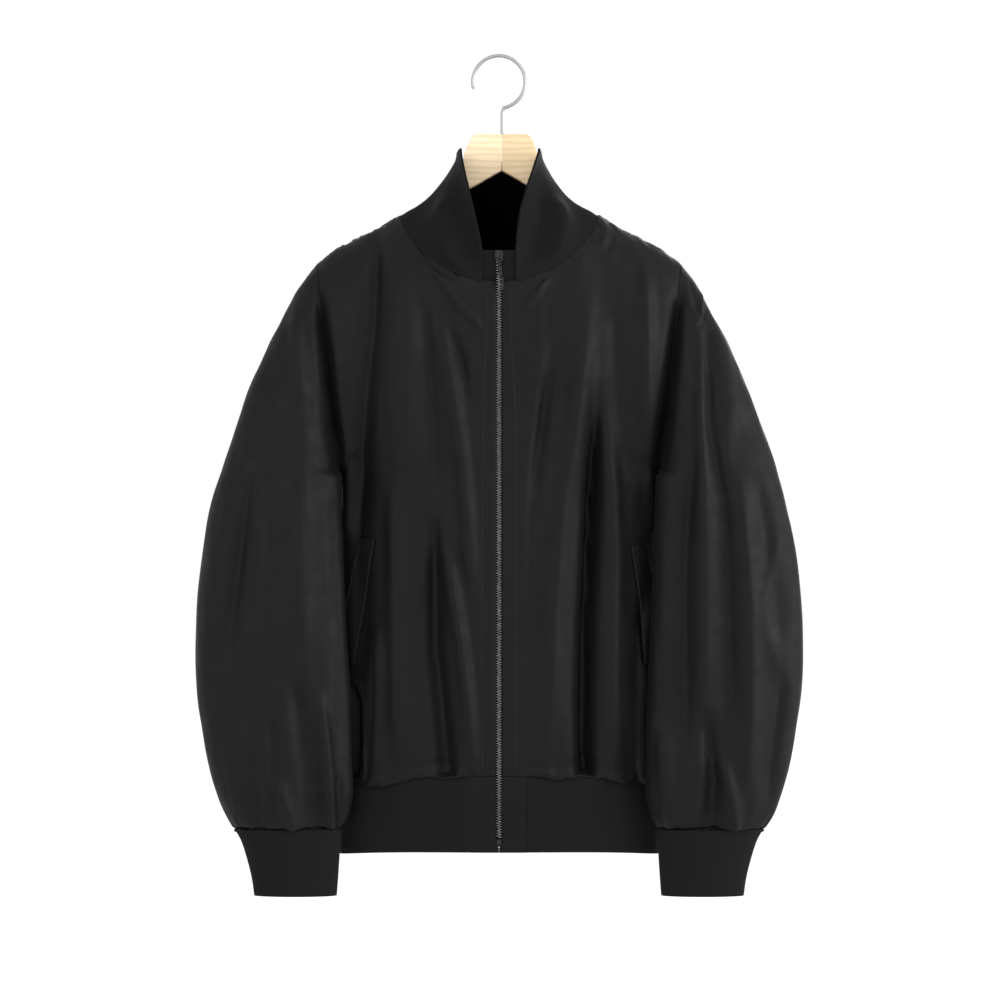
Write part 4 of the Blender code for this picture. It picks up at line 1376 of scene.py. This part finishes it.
SLEEVE_CREASES = (
    # left sleeve, from the outer edge inward
    Crease(((-258, -420), (-272, -531), (-288, -650)), 9, 6.5, 0.3),
    Crease(((-247, -450), (-256, -573), (-274, -680)), 9, -4.5, 0.2),
    Crease(((-238, -300), (-249, -405), (-256, -470)), 12, 4.0, 0.1),
    Crease(((-214, -268), (-210, -320), (-208, -370)), 8, -5.0, 0.2),
    Crease(((-205, -420), (-212, -540), (-206, -640)), 14, -5.0, 0.1),
    Crease(((-171, -430), (-167, -594), (-163, -790)), 8, 4.5, 0.1),
    Crease(((-214, -640), (-200, -741), (-190, -835)), 11, 9.0, 0.2),
    Crease(((-188, -660), (-178, -762), (-173, -838)), 7, -9.0, 0.2),
    Crease(((-168, -750), (-166, -790), (-165, -840)), 6, 6.0, 0.3),
    Crease(((-238, -680), (-236, -740), (-233, -820)), 6, 4.0, 0.3),
    Crease(((-234, -755), (-222, -790), (-208, -835)), 8, -6.5, 0.3),
    Crease(((-262, -720), (-256, -770), (-250, -830)), 7, 4.0, 0.3),
    # right sleeve, from the body outward
    Crease(((171, -700), (174, -760), (180, -830)), 9, -7.0, 0.1),
    Crease(((202, -400), (192, -531), (192, -678), (194, -800)), 9, 8.5, 0.2),
    Crease(((211, -256), (213, -426), (215, -573), (213, -760)), 8, -6.0, 0.2),
    Crease(((217, -250), (219, -384), (234, -468), (239, -573), (240, -760)), 8, 7.0, 0.15),
    Crease(((225, -275), (237, -326), (256, -400)), 9, -4.5, 0.2),
    Crease(((249, -415), (261, -573), (261, -699), (254, -825)), 11, -5.5, 0.2),
    Crease(((292, -505), (279, -573), (286, -645)), 8, -4.0, 0.2),
    Crease(((270, -430), (284, -540), (296, -640)), 12, 5.0, 0.2),
    Crease(((214, -680), (224, -762), (218, -835)), 10, 10.5, 0.4),
    Crease(((230, -730), (242, -780), (252, -838)), 8, -7.0, 0.4),
    Crease(((298, -640), (290, -720), (280, -800)), 8, 6.5, 0.3),
    # knot of short folds at the right armhole
    Crease(((198, -238), (206, -262), (213, -288)), 3.2, 4.0, 0.7),
    Crease(((214, -246), (212, -268), (212, -290)), 2.8, -4.0, 0.7),
    Crease(((195, -262), (204, -276), (216, -286)), 2.8, -4.0, 0.7),
    Crease(((220, -262), (216, -276), (208, -292)), 2.6, 3.5, 0.7),
)


@dataclass
class Sleeves:
    """The two sleeves and their rib cuffs."""

    form: JacketForm
    wardrobe: Wardrobe
    wall: float = 1.0
    rib_wall: float = 2.4
    around: int = 132
    rows: int = 230
    cuff_rows: int = 22
    cuff_girth: float = 250.0

    def build(self) -> None:
        """Make both sleeves and both cuffs."""
        for side in Side:
            self.build_sleeve(side)
            self.build_cuff(side)

    def grid(self, rows: int) -> tuple[Array, Array]:
        """Running numbers round and down a tube, finer at its ends."""
        return np.meshgrid(np.arange(self.around) / self.around, packed_ends(rows, 0.7))

    def build_sleeve(self, side: Side) -> None:
        """Make one sleeve.

        Args:
            side: Its side.
        """
        points = Sleeve(self.form, side, SLEEVE_CREASES).at(*self.grid(self.rows))
        item = grid_piece(f"sleeve_tube_{side.label}", points, around=True, flip=side is Side.RIGHT)
        thicken(item, self.wall)
        self.wardrobe.dress(item, SatinNylon())
        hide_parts(f"sleeve_{side.label}")
        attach(item, "jacket")
        log.info("%s: %d faces", item.name, len(item.data.polygons))

    def build_cuff(self, side: Side) -> None:
        """Make one rib cuff, a little fuller at its middle.

        Args:
            side: Its side.
        """
        form = self.form
        u, v = self.grid(self.cuff_rows)
        points = form.ring(form.cuff, mix(0.02, len(form.cuff.rows) - 1.0, v), u * math.tau)
        centre = points.mean(axis=1, keepdims=True)
        swell = 1.0 + 0.012 * np.sin(math.pi * v)
        swell += 0.006 * uneven_wave(u * self.cuff_girth, 21.0, 8) * (1 - v)
        grow = np.stack((swell, swell * 1.02, np.ones_like(v)), axis=-1)
        points = centre + (points - centre) * grow
        points = points * np.array((side.value, 1.0, 1.0))
        item = grid_piece(f"cuff_rib_{side.label}", points, around=True, flip=side is Side.RIGHT)
        thicken(item, self.rib_wall, 0.9)
        self.wardrobe.dress(item, RibKnit())
        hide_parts(f"cuff_{side.label}")
        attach(item, "jacket")
        log.info("%s: %d faces", item.name, len(item.data.polygons))


# ---------------------------------------------------------------- collar
@dataclass(frozen=True)
class StandCollar(Surface):
    """The rib stand collar. u runs round from the left front edge, and v runs up."""

    form: JacketForm
    top_half: float = 43.5
    top_front: float = -60.0
    top_side: float = 0.0
    top_back: float = 42.0
    top_z: float = -101.0
    side_z: float = -104.0
    back_z: float = -107.0
    start_turn: float = 0.118
    steps: float = 6.0
    front_degrees: float = 72.0
    lap: float = 1.2
    tall: float = 120.0
    edge: Stations = Stations(
        ("z", "left", "right"),
        ((-240, 17.5, 17.5), (-206, 18, 17.5), (-168, 26, 22), (-137, 33, 30.5), (-115, 38, 38),
         (-101, 40, 42)))

    def base(self, u: Array, v: Array) -> Array:
        """Points of the plain collar.

        Args:
            u: Running numbers round the neck.
            v: Running numbers up the collar.

        Returns:
            Points in millimetres.
        """
        form = self.form
        step = np.minimum(u, 1.0 - u) * 4 * self.steps
        first_turn = mix(form.front_neck_start, 1.0, 1 / self.steps)
        turn = np.maximum(mix(form.front_neck_start, 1.0, step / self.steps),
                          mix(self.start_turn, first_turn, np.minimum(step, 1.0)))
        part = np.clip(step / self.steps, 0.0, 1.0)
        angle = np.radians(mix(self.front_degrees, 90.0, part))
        front_top = np.stack((self.top_half * np.sin(angle),
                              mix(self.top_front, self.top_side, part),
                              mix(self.top_z, self.side_z, smooth(0.1, 1.0, part))), axis=-1)
        part = np.clip(step / self.steps - 1.0, 0.0, 1.0)
        angle = part * math.pi / 2
        back_top = np.stack((self.top_half * np.maximum(np.cos(angle), 0.0) ** 0.8,
                             mix(self.top_side, self.top_back, np.sin(angle) ** 0.8),
                             mix(self.side_z, self.back_z, part)), axis=-1)
        in_front = (step < self.steps)[..., None]
        foot = np.where(in_front, form.neckline(turn, True), form.neckline(1.0 - part, False))
        top = np.where(in_front, front_top, back_top)
        foot_z = foot[..., 2] - self.lap
        fall = (1.0 - v) ** 1.4
        x = mix(top[..., 0], foot[..., 0], fall)
        height = mix(form.front_neck_z, self.top_z, v)
        edge = np.where(u < 0.5, self.edge.at("left", height), self.edge.at("right", height))
        foot_x = form.neckline(np.array(self.start_turn), True)[0]
        top_x = self.top_half * math.sin(math.radians(self.front_degrees))
        x = x + (edge - mix(top_x, foot_x, fall)) * (1.0 - smooth(0.0, 4.0, step))
        return np.stack((np.where(u < 0.5, -x, x), mix(top[..., 1], foot[..., 1], fall),
                         mix(foot_z, top[..., 2], v)), axis=-1)

    def rise(self, points: Array, u: Array, v: Array) -> Array:
        """Soft folds of the knit, and its roll into the neck seam.

        Args:
            points: Points of the plain collar.
            u: Running numbers round the neck.
            v: Running numbers up the collar.

        Returns:
            How far each point is lifted, in millimetres.
        """
        calm = smooth(0.0, 0.12, v) * smooth(0.0, 0.03, np.minimum(u, 1.0 - u))
        folds = total_rise(COLLAR_CREASES, points[..., 0], points[..., 2])
        height = calm * np.where(points[..., 1] < 5.0, folds, 0.0)
        height += calm * 1.3 * drape_noise(points, 26.0, 60.0, 41.0)
        return height - 0.3 * np.exp(-((v * self.tall / 1.8) ** 2))


COLLAR_CREASES = (
    Crease(((-52, -140), (-62, -178), (-50, -220), (-18, -250)), 11, -8.0, 0.2),
    Crease(((-42, -128), (-40, -172), (-26, -232)), 8, 4.5, 0.2),
    Crease(((58, -142), (67, -178), (58, -238)), 11, -8.0, 0.2),
    Crease(((47, -130), (44, -172), (28, -232)), 9, 5.5, 0.2),
)


@dataclass
class Collar:
    """The rib stand collar as a piece."""

    form: JacketForm
    wardrobe: Wardrobe
    # The collar's inner face is painted near-black and almost without gloss: painted shade inside
    # the neck.
    inside: RibKnit = RibKnit("rib_inner_painted_shade", (0.0010, 0.0010, 0.0011), (0.0014, 0.0014, 0.0015),
                              specular=0.01)
    wall: float = 2.4
    columns: int = 230
    rows: int = 64

    def build(self) -> None:
        """Make the collar."""
        u, v = np.meshgrid(np.linspace(0.0, 1.0, self.columns + 1), packed_ends(self.rows, 0.6))
        item = grid_piece("collar_rib", StandCollar(self.form).at(u, v), flip=True)
        thicken(item, self.wall, 1.0)
        self.wardrobe.dress(item, RibKnit(), self.inside)
        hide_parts("collar")
        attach(item, "jacket")
        log.info("%s: %d faces", item.name, len(item.data.polygons))


# ---------------------------------------------------------------- hem
@dataclass
class Hem:
    """The rib hem band and its two plain woven ends beside the zip."""

    form: JacketForm
    wardrobe: Wardrobe
    tab_finish: SatinNylon = SatinNylon("tab_nylon", specular=0.145, sheen=0.006)
    length: float = 1000.0
    seed: int = 31
    tab_width: float = 26.0
    tab_edge: float = 1.4
    lap: float = 1.0
    wall: float = 2.6
    columns: int = 300
    rows: int = 36

    def swell(self, u: Array, v: Array) -> Array:
        """How far the band stands out: fuller in the middle, and rolled at its foot.

        Args:
            u: Running numbers round the band.
            v: Running numbers up it.

        Returns:
            Distances in millimetres.
        """
        height = 1.6 * np.sin(math.pi * np.clip(v, 0.0, 1.0))
        height += 1.3 * np.exp(-(((v - 0.09) / 0.05) ** 2))
        height += 0.9 * uneven_wave(u * self.length, 64.0, self.seed) * smooth(0.1, 0.4, v)
        return height - 0.8 * smooth(0.85, 1.0, v)

    def stand_out(self, points: Array, height: Array) -> Array:
        """Move points of the band level and away from the band's middle.

        Args:
            points: Points of the plain band.
            height: How far each moves.

        Returns:
            The moved points.
        """
        away = points * np.array((0.35, 1.0, 0.0)) - np.array((0.0, 12.0, 0.0))
        away /= np.linalg.norm(away, axis=-1, keepdims=True)
        return points + away * height[..., None]

    def build(self) -> None:
        """Make the band and both ends."""
        end = self.form.zip_edge + self.tab_width
        u, v = np.meshgrid(np.linspace(0.0, 1.0, self.columns + 1), packed_ends(self.rows, 0.6))
        points = self.stand_out(self.form.hem_point(u, v, end - self.lap), self.swell(u, v))
        band = grid_piece("hem_band", points)
        self.finish(band, RibKnit(), (0.80, 0.083), "hem_rib", "stretched")
        for side in Side:
            across, v = np.meshgrid(packed_ends(18), packed_ends(self.rows, 0.6))
            edge = 0.0 if side is Side.LEFT else 1.0
            start = mix(0.15, self.form.zip_edge, smooth(0.075, 0.095, v))
            points = self.form.hem_point(np.full(v.shape, edge), v, mix(start, end, across))
            height = self.swell(np.full(v.shape, 0.5), v) * 0.8
            for part in (across, 1 - across):
                height -= 0.4 * np.exp(-((part * self.tab_width / self.tab_edge) ** 2))
            tab = grid_piece(f"hem_end_{side.label}", self.stand_out(points, height),
                             flip=side is Side.LEFT)
            self.finish(tab, self.tab_finish, (0.027, 0.082), f"hem_tab_{side.label}", "hung")

    def finish(self, item: bpy.types.Object, finish: object, flat: tuple[float, float], node: str,
               held: str) -> None:
        """Thicken and dress a piece of the band, hide the solid that it stands for, and attach it
        to the jacket.

        Args:
            item: The piece.
            finish: Its finish.
            flat: Its cut, in metres. Not used.
            node: The solid that it stands for.
            held: How its cloth is held. Not used.
        """
        thicken(item, self.wall, 0.9)
        self.wardrobe.dress(item, finish)
        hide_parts(node)
        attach(item, "jacket")
        log.info("%s: %d faces", item.name, len(item.data.polygons))


# ---------------------------------------------------------------- stitching and pockets
@dataclass
class Stitching:
    """Rows of lockstitch laid on a surface."""

    wardrobe: Wardrobe
    length: float = 2.6
    gap: float = 0.7
    radius: float = 0.28
    sides: int = 6
    rings: tuple[tuple[float, float, float], ...] = (  # part of the length, thickness, sink
        (0.0, 0.35, 0.5), (0.2, 0.9, 0.05), (0.8, 0.9, 0.05), (1.0, 0.35, 0.5))

    def row(self, name: str, points: Array, thread: Thread = Thread()) -> bpy.types.Object:
        """Lay one row of stitches along a line of points.

        Args:
            name: Name of the piece.
            points: Points of the line, in millimetres, already off the cloth.
            thread: The thread's finish.

        Returns:
            The piece, riding on the jacket.
        """
        reach = np.concatenate(((0.0,), np.cumsum(np.linalg.norm(np.diff(points, axis=0), axis=1))))
        work = bmesh.new()
        start = self.gap
        while start + self.length < reach[-1]:
            ends = [np.array([np.interp(place, reach, points[:, axis]) for axis in range(3)])
                    for place in (start, start + self.length)]
            self.one(work, *ends)
            start += self.length + self.gap
        item = mesh_piece(name, work)
        item.data.shade_smooth()
        self.wardrobe.dress(item, thread)
        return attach(item, "jacket")

    def one(self, work: bmesh.types.BMesh, start: Array, stop: Array) -> None:
        """Add one stitch, thicker at its middle and dipping at its ends.

        Args:
            work: The row that the stitch joins.
            start: Its first end, in millimetres.
            stop: Its other end.
        """
        run = Vector(stop - start)
        side = run.cross(Vector((0.0, 1.0, 0.0))).normalized()
        out = side.cross(run).normalized()
        rings = []
        for part, size, sink in self.rings:
            centre = Vector(start) + run * part
            ring = []
            for step in range(self.sides):
                angle = math.tau * step / self.sides
                offset = (side * math.cos(angle) + out * math.sin(angle)) * self.radius * size
                point = centre + offset + Vector((0.0, sink, 0.0))
                ring.append(work.verts.new(point * MM))
            rings.append(ring)
        for low, high in zip(rings, rings[1:]):
            for step in range(self.sides):
                after = (step + 1) % self.sides
                work.faces.new((low[step], low[after], high[after], high[step]))
        work.faces.new(rings[0][::-1])
        work.faces.new(rings[-1])


@dataclass(frozen=True)
class WeltLine:
    """Where a pocket welt runs: the middle of its upper and lower ends."""

    top: tuple[float, float]
    foot: tuple[float, float]
    width: float


@dataclass
class Pockets:
    """The two slanted welt pockets."""

    shell: Shell
    wardrobe: Wardrobe
    stitching: Stitching
    wall: float = 1.1
    lift: float = 2.2
    stitch_lift: float = 0.75
    stitch_places: tuple[float, float] = (0.07, 0.93)
    left: WeltLine = WeltLine((-139.5, -508.0), (-163.5, -640.0), 20.0)
    right: WeltLine = WeltLine((146.5, -515.0), (166.0, -640.0), 19.0)
    # This thread is painted lighter than the rest: a painted highlight along the welts' stitches.
    thread: Thread = Thread("welt_thread", (0.024, 0.024, 0.025))

    def strip(self, side: Side, across: Array, down: Array, lift: float) -> Array:
        """Points over a welt.

        Args:
            side: The pocket's side.
            across: 0 to 1 over the welt's width.
            down: 0 at its top and 1 at its foot.
            lift: Distance off the front, in millimetres.

        Returns:
            Points in millimetres.
        """
        line = self.left if side is Side.LEFT else self.right
        panel = self.shell.front(side)
        x = mix(line.top[0], line.foot[0], down) + (across - 0.5) * line.width
        z = mix(line.top[1], line.foot[1], down)
        return panel.at(*panel.find(x, z), lift)

    def build(self) -> None:
        """Make both welts and their stitching."""
        for side in Side:
            across, down = np.meshgrid(packed_ends(12), packed_ends(60))
            points = self.strip(side, across, down, self.lift)
            item = grid_piece(f"pocket_welt_strip_{side.label}", points, flip=True)
            thicken(item, self.wall, 0.4)
            self.wardrobe.dress(item, SatinNylon())
            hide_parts(f"pocket_welt_{side.label}")
            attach(item, "jacket")
            for number, place in enumerate(self.stitch_places):
                row = np.linspace(0.01, 0.99, 90)
                line = self.strip(side, np.full(row.shape, place), row,
                                  self.lift + self.stitch_lift)
                self.stitching.row(f"welt_stitching_{side.label}_{number}", line, self.thread)
            log.info("%s: %d faces", item.name, len(item.data.polygons))


# ---------------------------------------------------------------- zip
@dataclass
class Zip:
    """The metal zip: teeth, tapes, slider, pull and box, and the topstitching beside it."""

    form: JacketForm
    shell: Shell
    wardrobe: Wardrobe
    stitching: Stitching
    depth: float = 2.3
    top_z: float = -219.5
    foot_z: float = -822.5
    pitch: float = 1.35
    tooth: tuple[float, float, float] = (3.5, 2.2, 0.95)
    head: float = 0.75
    waist: float = 0.6
    narrow: float = 0.34
    stitch_from_edge: tuple[float, ...] = (0.052,)
    stitch_lift: float = 0.6
    worn: AntiqueMetal = AntiqueMetal("blackened_metal", (0.010, 0.0098, 0.0095),
                                      (0.060, 0.059, 0.057))

    def build(self) -> None:
        """Make the teeth and the stitching, and dress the hard pieces."""
        item = self.teeth()
        self.wardrobe.dress(item, AntiqueMetal())
        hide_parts("zip_chain")
        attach(item, "jacket")
        for node in ("zip_slider", "zip_pull", "zip_box"):
            self.wardrobe.dress(frame["nodes"][node], self.worn)
        for node in ("zip_tape_left", "zip_tape_right"):
            self.wardrobe.dress(frame["nodes"][node], WovenTape())
        for side in Side:
            panel = self.shell.front(side)
            for number, place in enumerate(self.stitch_from_edge):
                row = np.linspace(0.02, 1.47, 400)
                line = panel.at(np.full(row.shape, place), row, self.stitch_lift)
                self.stitching.row(f"zip_stitching_{side.label}_{number}", line)
        log.info("%s: %d faces", item.name, len(item.data.polygons))

    def teeth(self) -> bpy.types.Object:
        """Make the closed teeth, left and right in turn.

        Returns:
            The teeth as one object.
        """
        work = bmesh.new()
        for number in range(int((self.top_z - self.foot_z) / self.pitch)):
            z = self.top_z - (number + 0.5) * self.pitch
            y = float(self.form.zip_line_y(np.array(z))) + self.depth
            self.one(work, 1.0 if number % 2 else -1.0, Vector((0.0, y, z)))
        item = mesh_piece("zip_teeth", work)
        item.data.shade_smooth()
        item.data.set_sharp_from_angle(angle=math.radians(40))
        bevel = item.modifiers.new("Worn edge", "BEVEL")
        bevel.width = 0.18 * MM
        bevel.segments = 1
        return item

    def one(self, work: bmesh.types.BMesh, side: float, place: Vector) -> None:
        """Add one tooth: a foot clamped on its tape, and a narrower head past the middle.

        Args:
            work: The teeth that it joins.
            side: -1 where its foot is on the left tape, 1 on the right.
            place: Its middle, in millimetres.
        """
        wide, deep, high = self.tooth
        upper = ((-self.head, self.narrow), (self.waist, 0.5), (wide - self.head, 0.5))
        outline = (*upper, *((x, -z) for x, z in reversed(upper)))
        rings = []
        for y in (-deep / 2, deep / 2):
            rings.append([work.verts.new((place + Vector((side * x, y, z * high))) * MM)
                          for x, z in outline])
        count = len(outline)
        for step in range(count):
            after = (step + 1) % count
            face = (rings[0][step], rings[0][after], rings[1][after], rings[1][step])
            work.faces.new(face[::-1] if side > 0 else face)
        work.faces.new(rings[0] if side > 0 else rings[0][::-1])
        work.faces.new(rings[1][::-1] if side > 0 else rings[1])


# ---------------------------------------------------------------- hanger
@dataclass
class Hanger:
    """The wooden hanger's two arms and its wire hook."""

    wardrobe: Wardrobe
    left_wood: PaleWood = PaleWood()
    # The right arm's wood is painted darker as painted shade on the side turned from the light; its
    # grain is the wood's own.
    right_wood: PaleWood = PaleWood("right_wood_painted_shade", (0.84, 0.64, 0.39), (0.74, 0.55, 0.31))
    middle_x: float = 3.0
    thick: float = 12.0
    corner: float = 2.2
    eased: float = 0.9
    hook_radius: float = 27.7
    wire: float = 1.9
    hook_start: float = -79.5
    hook_end: float = 196.0
    stem_x: float = 3.5
    flare: float = 3.2
    flare_z: float = -104.0
    flare_reach: float = 15.0
    corner_steps: int = 5
    steps: int = 120
    arm: Stations = Stations(
        ("x", "top", "bottom", "y"),
        ((0.05, -81.0, -120.0, 4.5),
         (14, -81.0, -128.0, 3.1),
         (26, -81.4, -135.0, 1.9),
         (30.5, -83.5, -137.5, 1.5),
         (33, -89.0, -139.0, 1.3),
         (36, -99.5, -141.0, 1.1),
         (38, -108.5, -143.0, 0.9),
         (42, -121.0, -147.0, 0.6),
         (54, -142.0, -157.5, 0.0),
         (72, -161.5, -173.0, -0.8),
         (98, -178.0, -192.0, -1.6),
         (130, -197.0, -213.0, -2.8),
         (160, -217.0, -234.0, -3.8),
         (172, -227.0, -241.0, -4.2),
         (177, -233.0, -240.0, -4.4)))

    def build(self) -> None:
        """Make both arms and the hook."""
        for side in Side:
            item = self.build_arm(side)
            self.wardrobe.dress(item, self.left_wood if side is Side.LEFT else self.right_wood)
            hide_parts(f"hanger_arm_{side.label}")
            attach(item, "jacket")
            log.info("%s: %d faces", item.name, len(item.data.polygons))
        hook = self.build_hook()
        self.wardrobe.dress(hook, BrightWire())
        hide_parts("hanger_hook")
        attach(hook, "jacket")
        log.info("%s built", hook.name)

    def outline(self, half_high: float) -> list[tuple[float, float]]:
        """Round-cornered section of an arm.

        Args:
            half_high: Half the arm's height there.

        Returns:
            Points as (depth, height) about its middle.
        """
        corner = min(self.corner, half_high * 0.7)
        deep = self.thick / 2
        points = []
        for sign_y, sign_z, start in ((1, 1, 0), (-1, 1, 90), (-1, -1, 180), (1, -1, 270)):
            for step in range(self.corner_steps + 1):
                angle = math.radians(start + 90 / self.corner_steps * step)
                points.append((sign_y * (deep - corner) + corner * math.cos(angle),
                               sign_z * (half_high - corner) + corner * math.sin(angle)))
        return points

    def build_arm(self, side: Side) -> bpy.types.Object:
        """Loft one arm along its stations, closed at both ends.

        Args:
            side: Its side.

        Returns:
            The arm, not dressed yet.
        """
        place = np.linspace(0.0, len(self.arm.rows) - 1.0, self.steps + 1)
        points = []
        for x, top, bottom, y in zip(*(self.arm.read(name, place) for name in self.arm.names)):
            half_high = (top - bottom) / 2
            flare = self.flare * math.exp(-(((top - self.flare_z) / self.flare_reach) ** 2))
            reach = x + (flare if side is Side.LEFT else 0.4 * flare)
            points.append([(self.middle_x + side.value * reach, y + deep, bottom + half_high + high)
                           for deep, high in self.outline(half_high)])
        item = grid_piece(f"hanger_wood_{side.label}", crowned(np.array(points)), around=True,
                          flip=side is Side.LEFT)
        work = bmesh.new()
        work.from_mesh(item.data)
        bmesh.ops.holes_fill(work, edges=[edge for edge in work.edges if edge.is_boundary])
        bmesh.ops.recalc_face_normals(work, faces=work.faces)
        work.to_mesh(item.data)
        work.free()
        item.data.set_sharp_from_angle(angle=math.radians(35))
        ease_edges(item, self.eased)
        return item

    def build_hook(self) -> bpy.types.Object:
        """Bend the wire: a stem, a tight turn, and the hook's round.

        Returns:
            The hook, not dressed yet.
        """
        middle_z = self.wire - self.hook_radius
        points = [(self.stem_x, -80.7), (self.stem_x, -70.0), (self.stem_x, -59.0)]
        for degrees in np.linspace(self.hook_start, self.hook_end, 80):
            angle = math.radians(degrees)
            points.append((self.hook_radius * math.cos(angle),
                           middle_z + self.hook_radius * math.sin(angle)))
        curve = bpy.data.curves.new("hook_wire", "CURVE")
        curve.dimensions = "3D"
        curve.bevel_depth = self.wire * MM
        curve.bevel_resolution = 5
        curve.use_fill_caps = True
        spline = curve.splines.new("POLY")
        spline.points.add(len(points) - 1)
        for point, (x, z) in zip(spline.points, points):
            point.co = (x * MM, 0.0, z * MM, 1.0)
        return in_scene("hook_wire", curve)


# ---------------------------------------------------------------- studio
def in_view(tree: bpy.types.NodeTree) -> bpy.types.NodeSocket:
    """Tell the rays that show the surround from those that light things by it.

    Args:
        tree: The nodes of a material or the world.

    Returns:
        A socket that is 1 for the eye's rays and those off gloss or through glass, and else 0.
    """
    path = tree.nodes.new("ShaderNodeLightPath")
    seen = None
    for ray in ("Is Camera Ray", "Is Glossy Ray", "Is Transmission Ray"):
        more = tree.nodes.new("ShaderNodeMath")
        more.operation = "MAXIMUM"
        more.inputs[0].default_value = 0.0
        if seen is not None:
            tree.links.new(seen, more.inputs[0])
        tree.links.new(path.outputs[ray], more.inputs[1])
        seen = more.outputs["Value"]
    return seen


@dataclass(frozen=True)
class Lamp:
    """A square soft lamp: where it hangs and its side in metres, and its power in watts."""

    name: str
    place: Place
    power: float
    size: float = 1.2

    def hang(self, aim: Place) -> None:
        """Hang the lamp so that it faces a place.

        Args:
            aim: The place.
        """
        data = bpy.data.lights.new(self.name, "AREA")
        data.size = self.size
        data.energy = self.power
        item = in_scene(self.name, data)
        item.location = self.place
        away = Vector(aim) - Vector(self.place)
        item.rotation_euler = away.to_track_quat("-Z", "Y").to_euler()


@dataclass
class Studio:
    """Camera, lamps, pale floor and white surround."""

    view_width: float = 1.05
    centre: Place = (0.00105, -0.03, -0.4678)
    lens: float = 150.0
    film: float = 36.0
    floor_z: float = -1.15
    floor_radius: float = 9.0
    floor_share: float = 0.92
    floor_strength: float = 1.1
    world_strength: float = 0.95
    lamps: tuple[Lamp, ...] = (
        Lamp("left_front", (-1.2, -3.4, 0.5), 20.0),
        Lamp("left", (-2.9, -2.4, 0.0), 8.0),
        Lamp("right_front", (2.9, -2.4, 0.0), 22.0),
        Lamp("right", (3.6, -1.2, 0.0), 46.0),
        Lamp("right_edge", (3.8, -0.2, 0.0), 18.0),
        Lamp("right_high", (2.2, -2.0, 2.2), 18.0),
        Lamp("back", (0.4, 2.8, 0.6), 72.0, 2.2))

    def build(self) -> None:
        """Set up everything round the jacket."""
        bpy.context.scene.view_settings.view_transform = "Standard"
        self.camera()
        for lamp in self.lamps:
            lamp.hang(self.centre)
        self.floor()
        self.surround()
        log.info("studio built")

    def camera(self) -> None:
        """Look straight at the front from far off."""
        data = bpy.data.cameras.new("camera")
        data.lens = self.lens
        data.sensor_width = self.film
        item = in_scene("camera", data)
        x, y, z = self.centre
        item.location = (x, y - self.view_width * self.lens / self.film, z)
        item.rotation_euler = (math.pi / 2, 0.0, 0.0)
        bpy.context.scene.camera = item

    def floor(self) -> None:
        """Lay a pale round floor that keeps the shadow."""
        work = bmesh.new()
        bmesh.ops.create_circle(work, cap_ends=True, segments=96, radius=self.floor_radius)
        item = mesh_piece("floor", work)
        item.location = (0.0, 0.0, self.floor_z)
        shader = Shader("pale_floor", (0.9, 0.9, 0.9), 0.7)
        glow = shader.node("Emission", {"Color": (*WHITE, 1.0), "Strength": self.floor_strength})
        blend = shader.node("MixShader")
        share = shader.node("Math", operation="MULTIPLY")
        share.inputs[1].default_value = self.floor_share
        shader.link(in_view(shader.tree), share.inputs[0])
        shader.link(share.outputs["Value"], blend.inputs["Fac"])
        shader.link(shader.surface.outputs["BSDF"], blend.inputs[1])
        shader.link(glow.outputs["Emission"], blend.inputs[2])
        shader.link(blend.outputs["Shader"], shader.tree.nodes["Material Output"].inputs["Surface"])
        item.data.materials.append(shader.material)

    def surround(self) -> None:
        """White to the eye and in polished metal, and a soft plain light for the rest."""
        world = bpy.data.worlds.new("surround")
        bpy.context.scene.world = world
        world.use_nodes = True
        tree = world.node_tree
        soft = tree.nodes["Background"]
        soft.inputs["Strength"].default_value = self.world_strength
        soft.inputs["Color"].default_value = (*WHITE, 1.0)
        white = tree.nodes.new("ShaderNodeBackground")
        white.inputs["Color"].default_value = (*WHITE, 1.0)
        blend = tree.nodes.new("ShaderNodeMixShader")
        tree.links.new(in_view(tree), blend.inputs["Fac"])
        tree.links.new(soft.outputs["Background"], blend.inputs[1])
        tree.links.new(white.outputs["Background"], blend.inputs[2])
        tree.links.new(blend.outputs["Shader"], tree.nodes["World Output"].inputs["Surface"])


def main() -> None:
    """Build the studio and every piece in order."""
    logging.basicConfig(level=logging.INFO, format="%(name)s: %(message)s")
    form, wardrobe = JacketForm(), Wardrobe()
    shell = Shell(form, wardrobe)
    stitching = Stitching(wardrobe)
    for part in (Studio(), shell, Sleeves(form, wardrobe), Collar(form, wardrobe),
                 Hem(form, wardrobe), Pockets(shell, wardrobe, stitching),
                 Zip(form, shell, wardrobe, stitching), Hanger(wardrobe)):
        part.build()


if __name__ == "__main__":
    main()
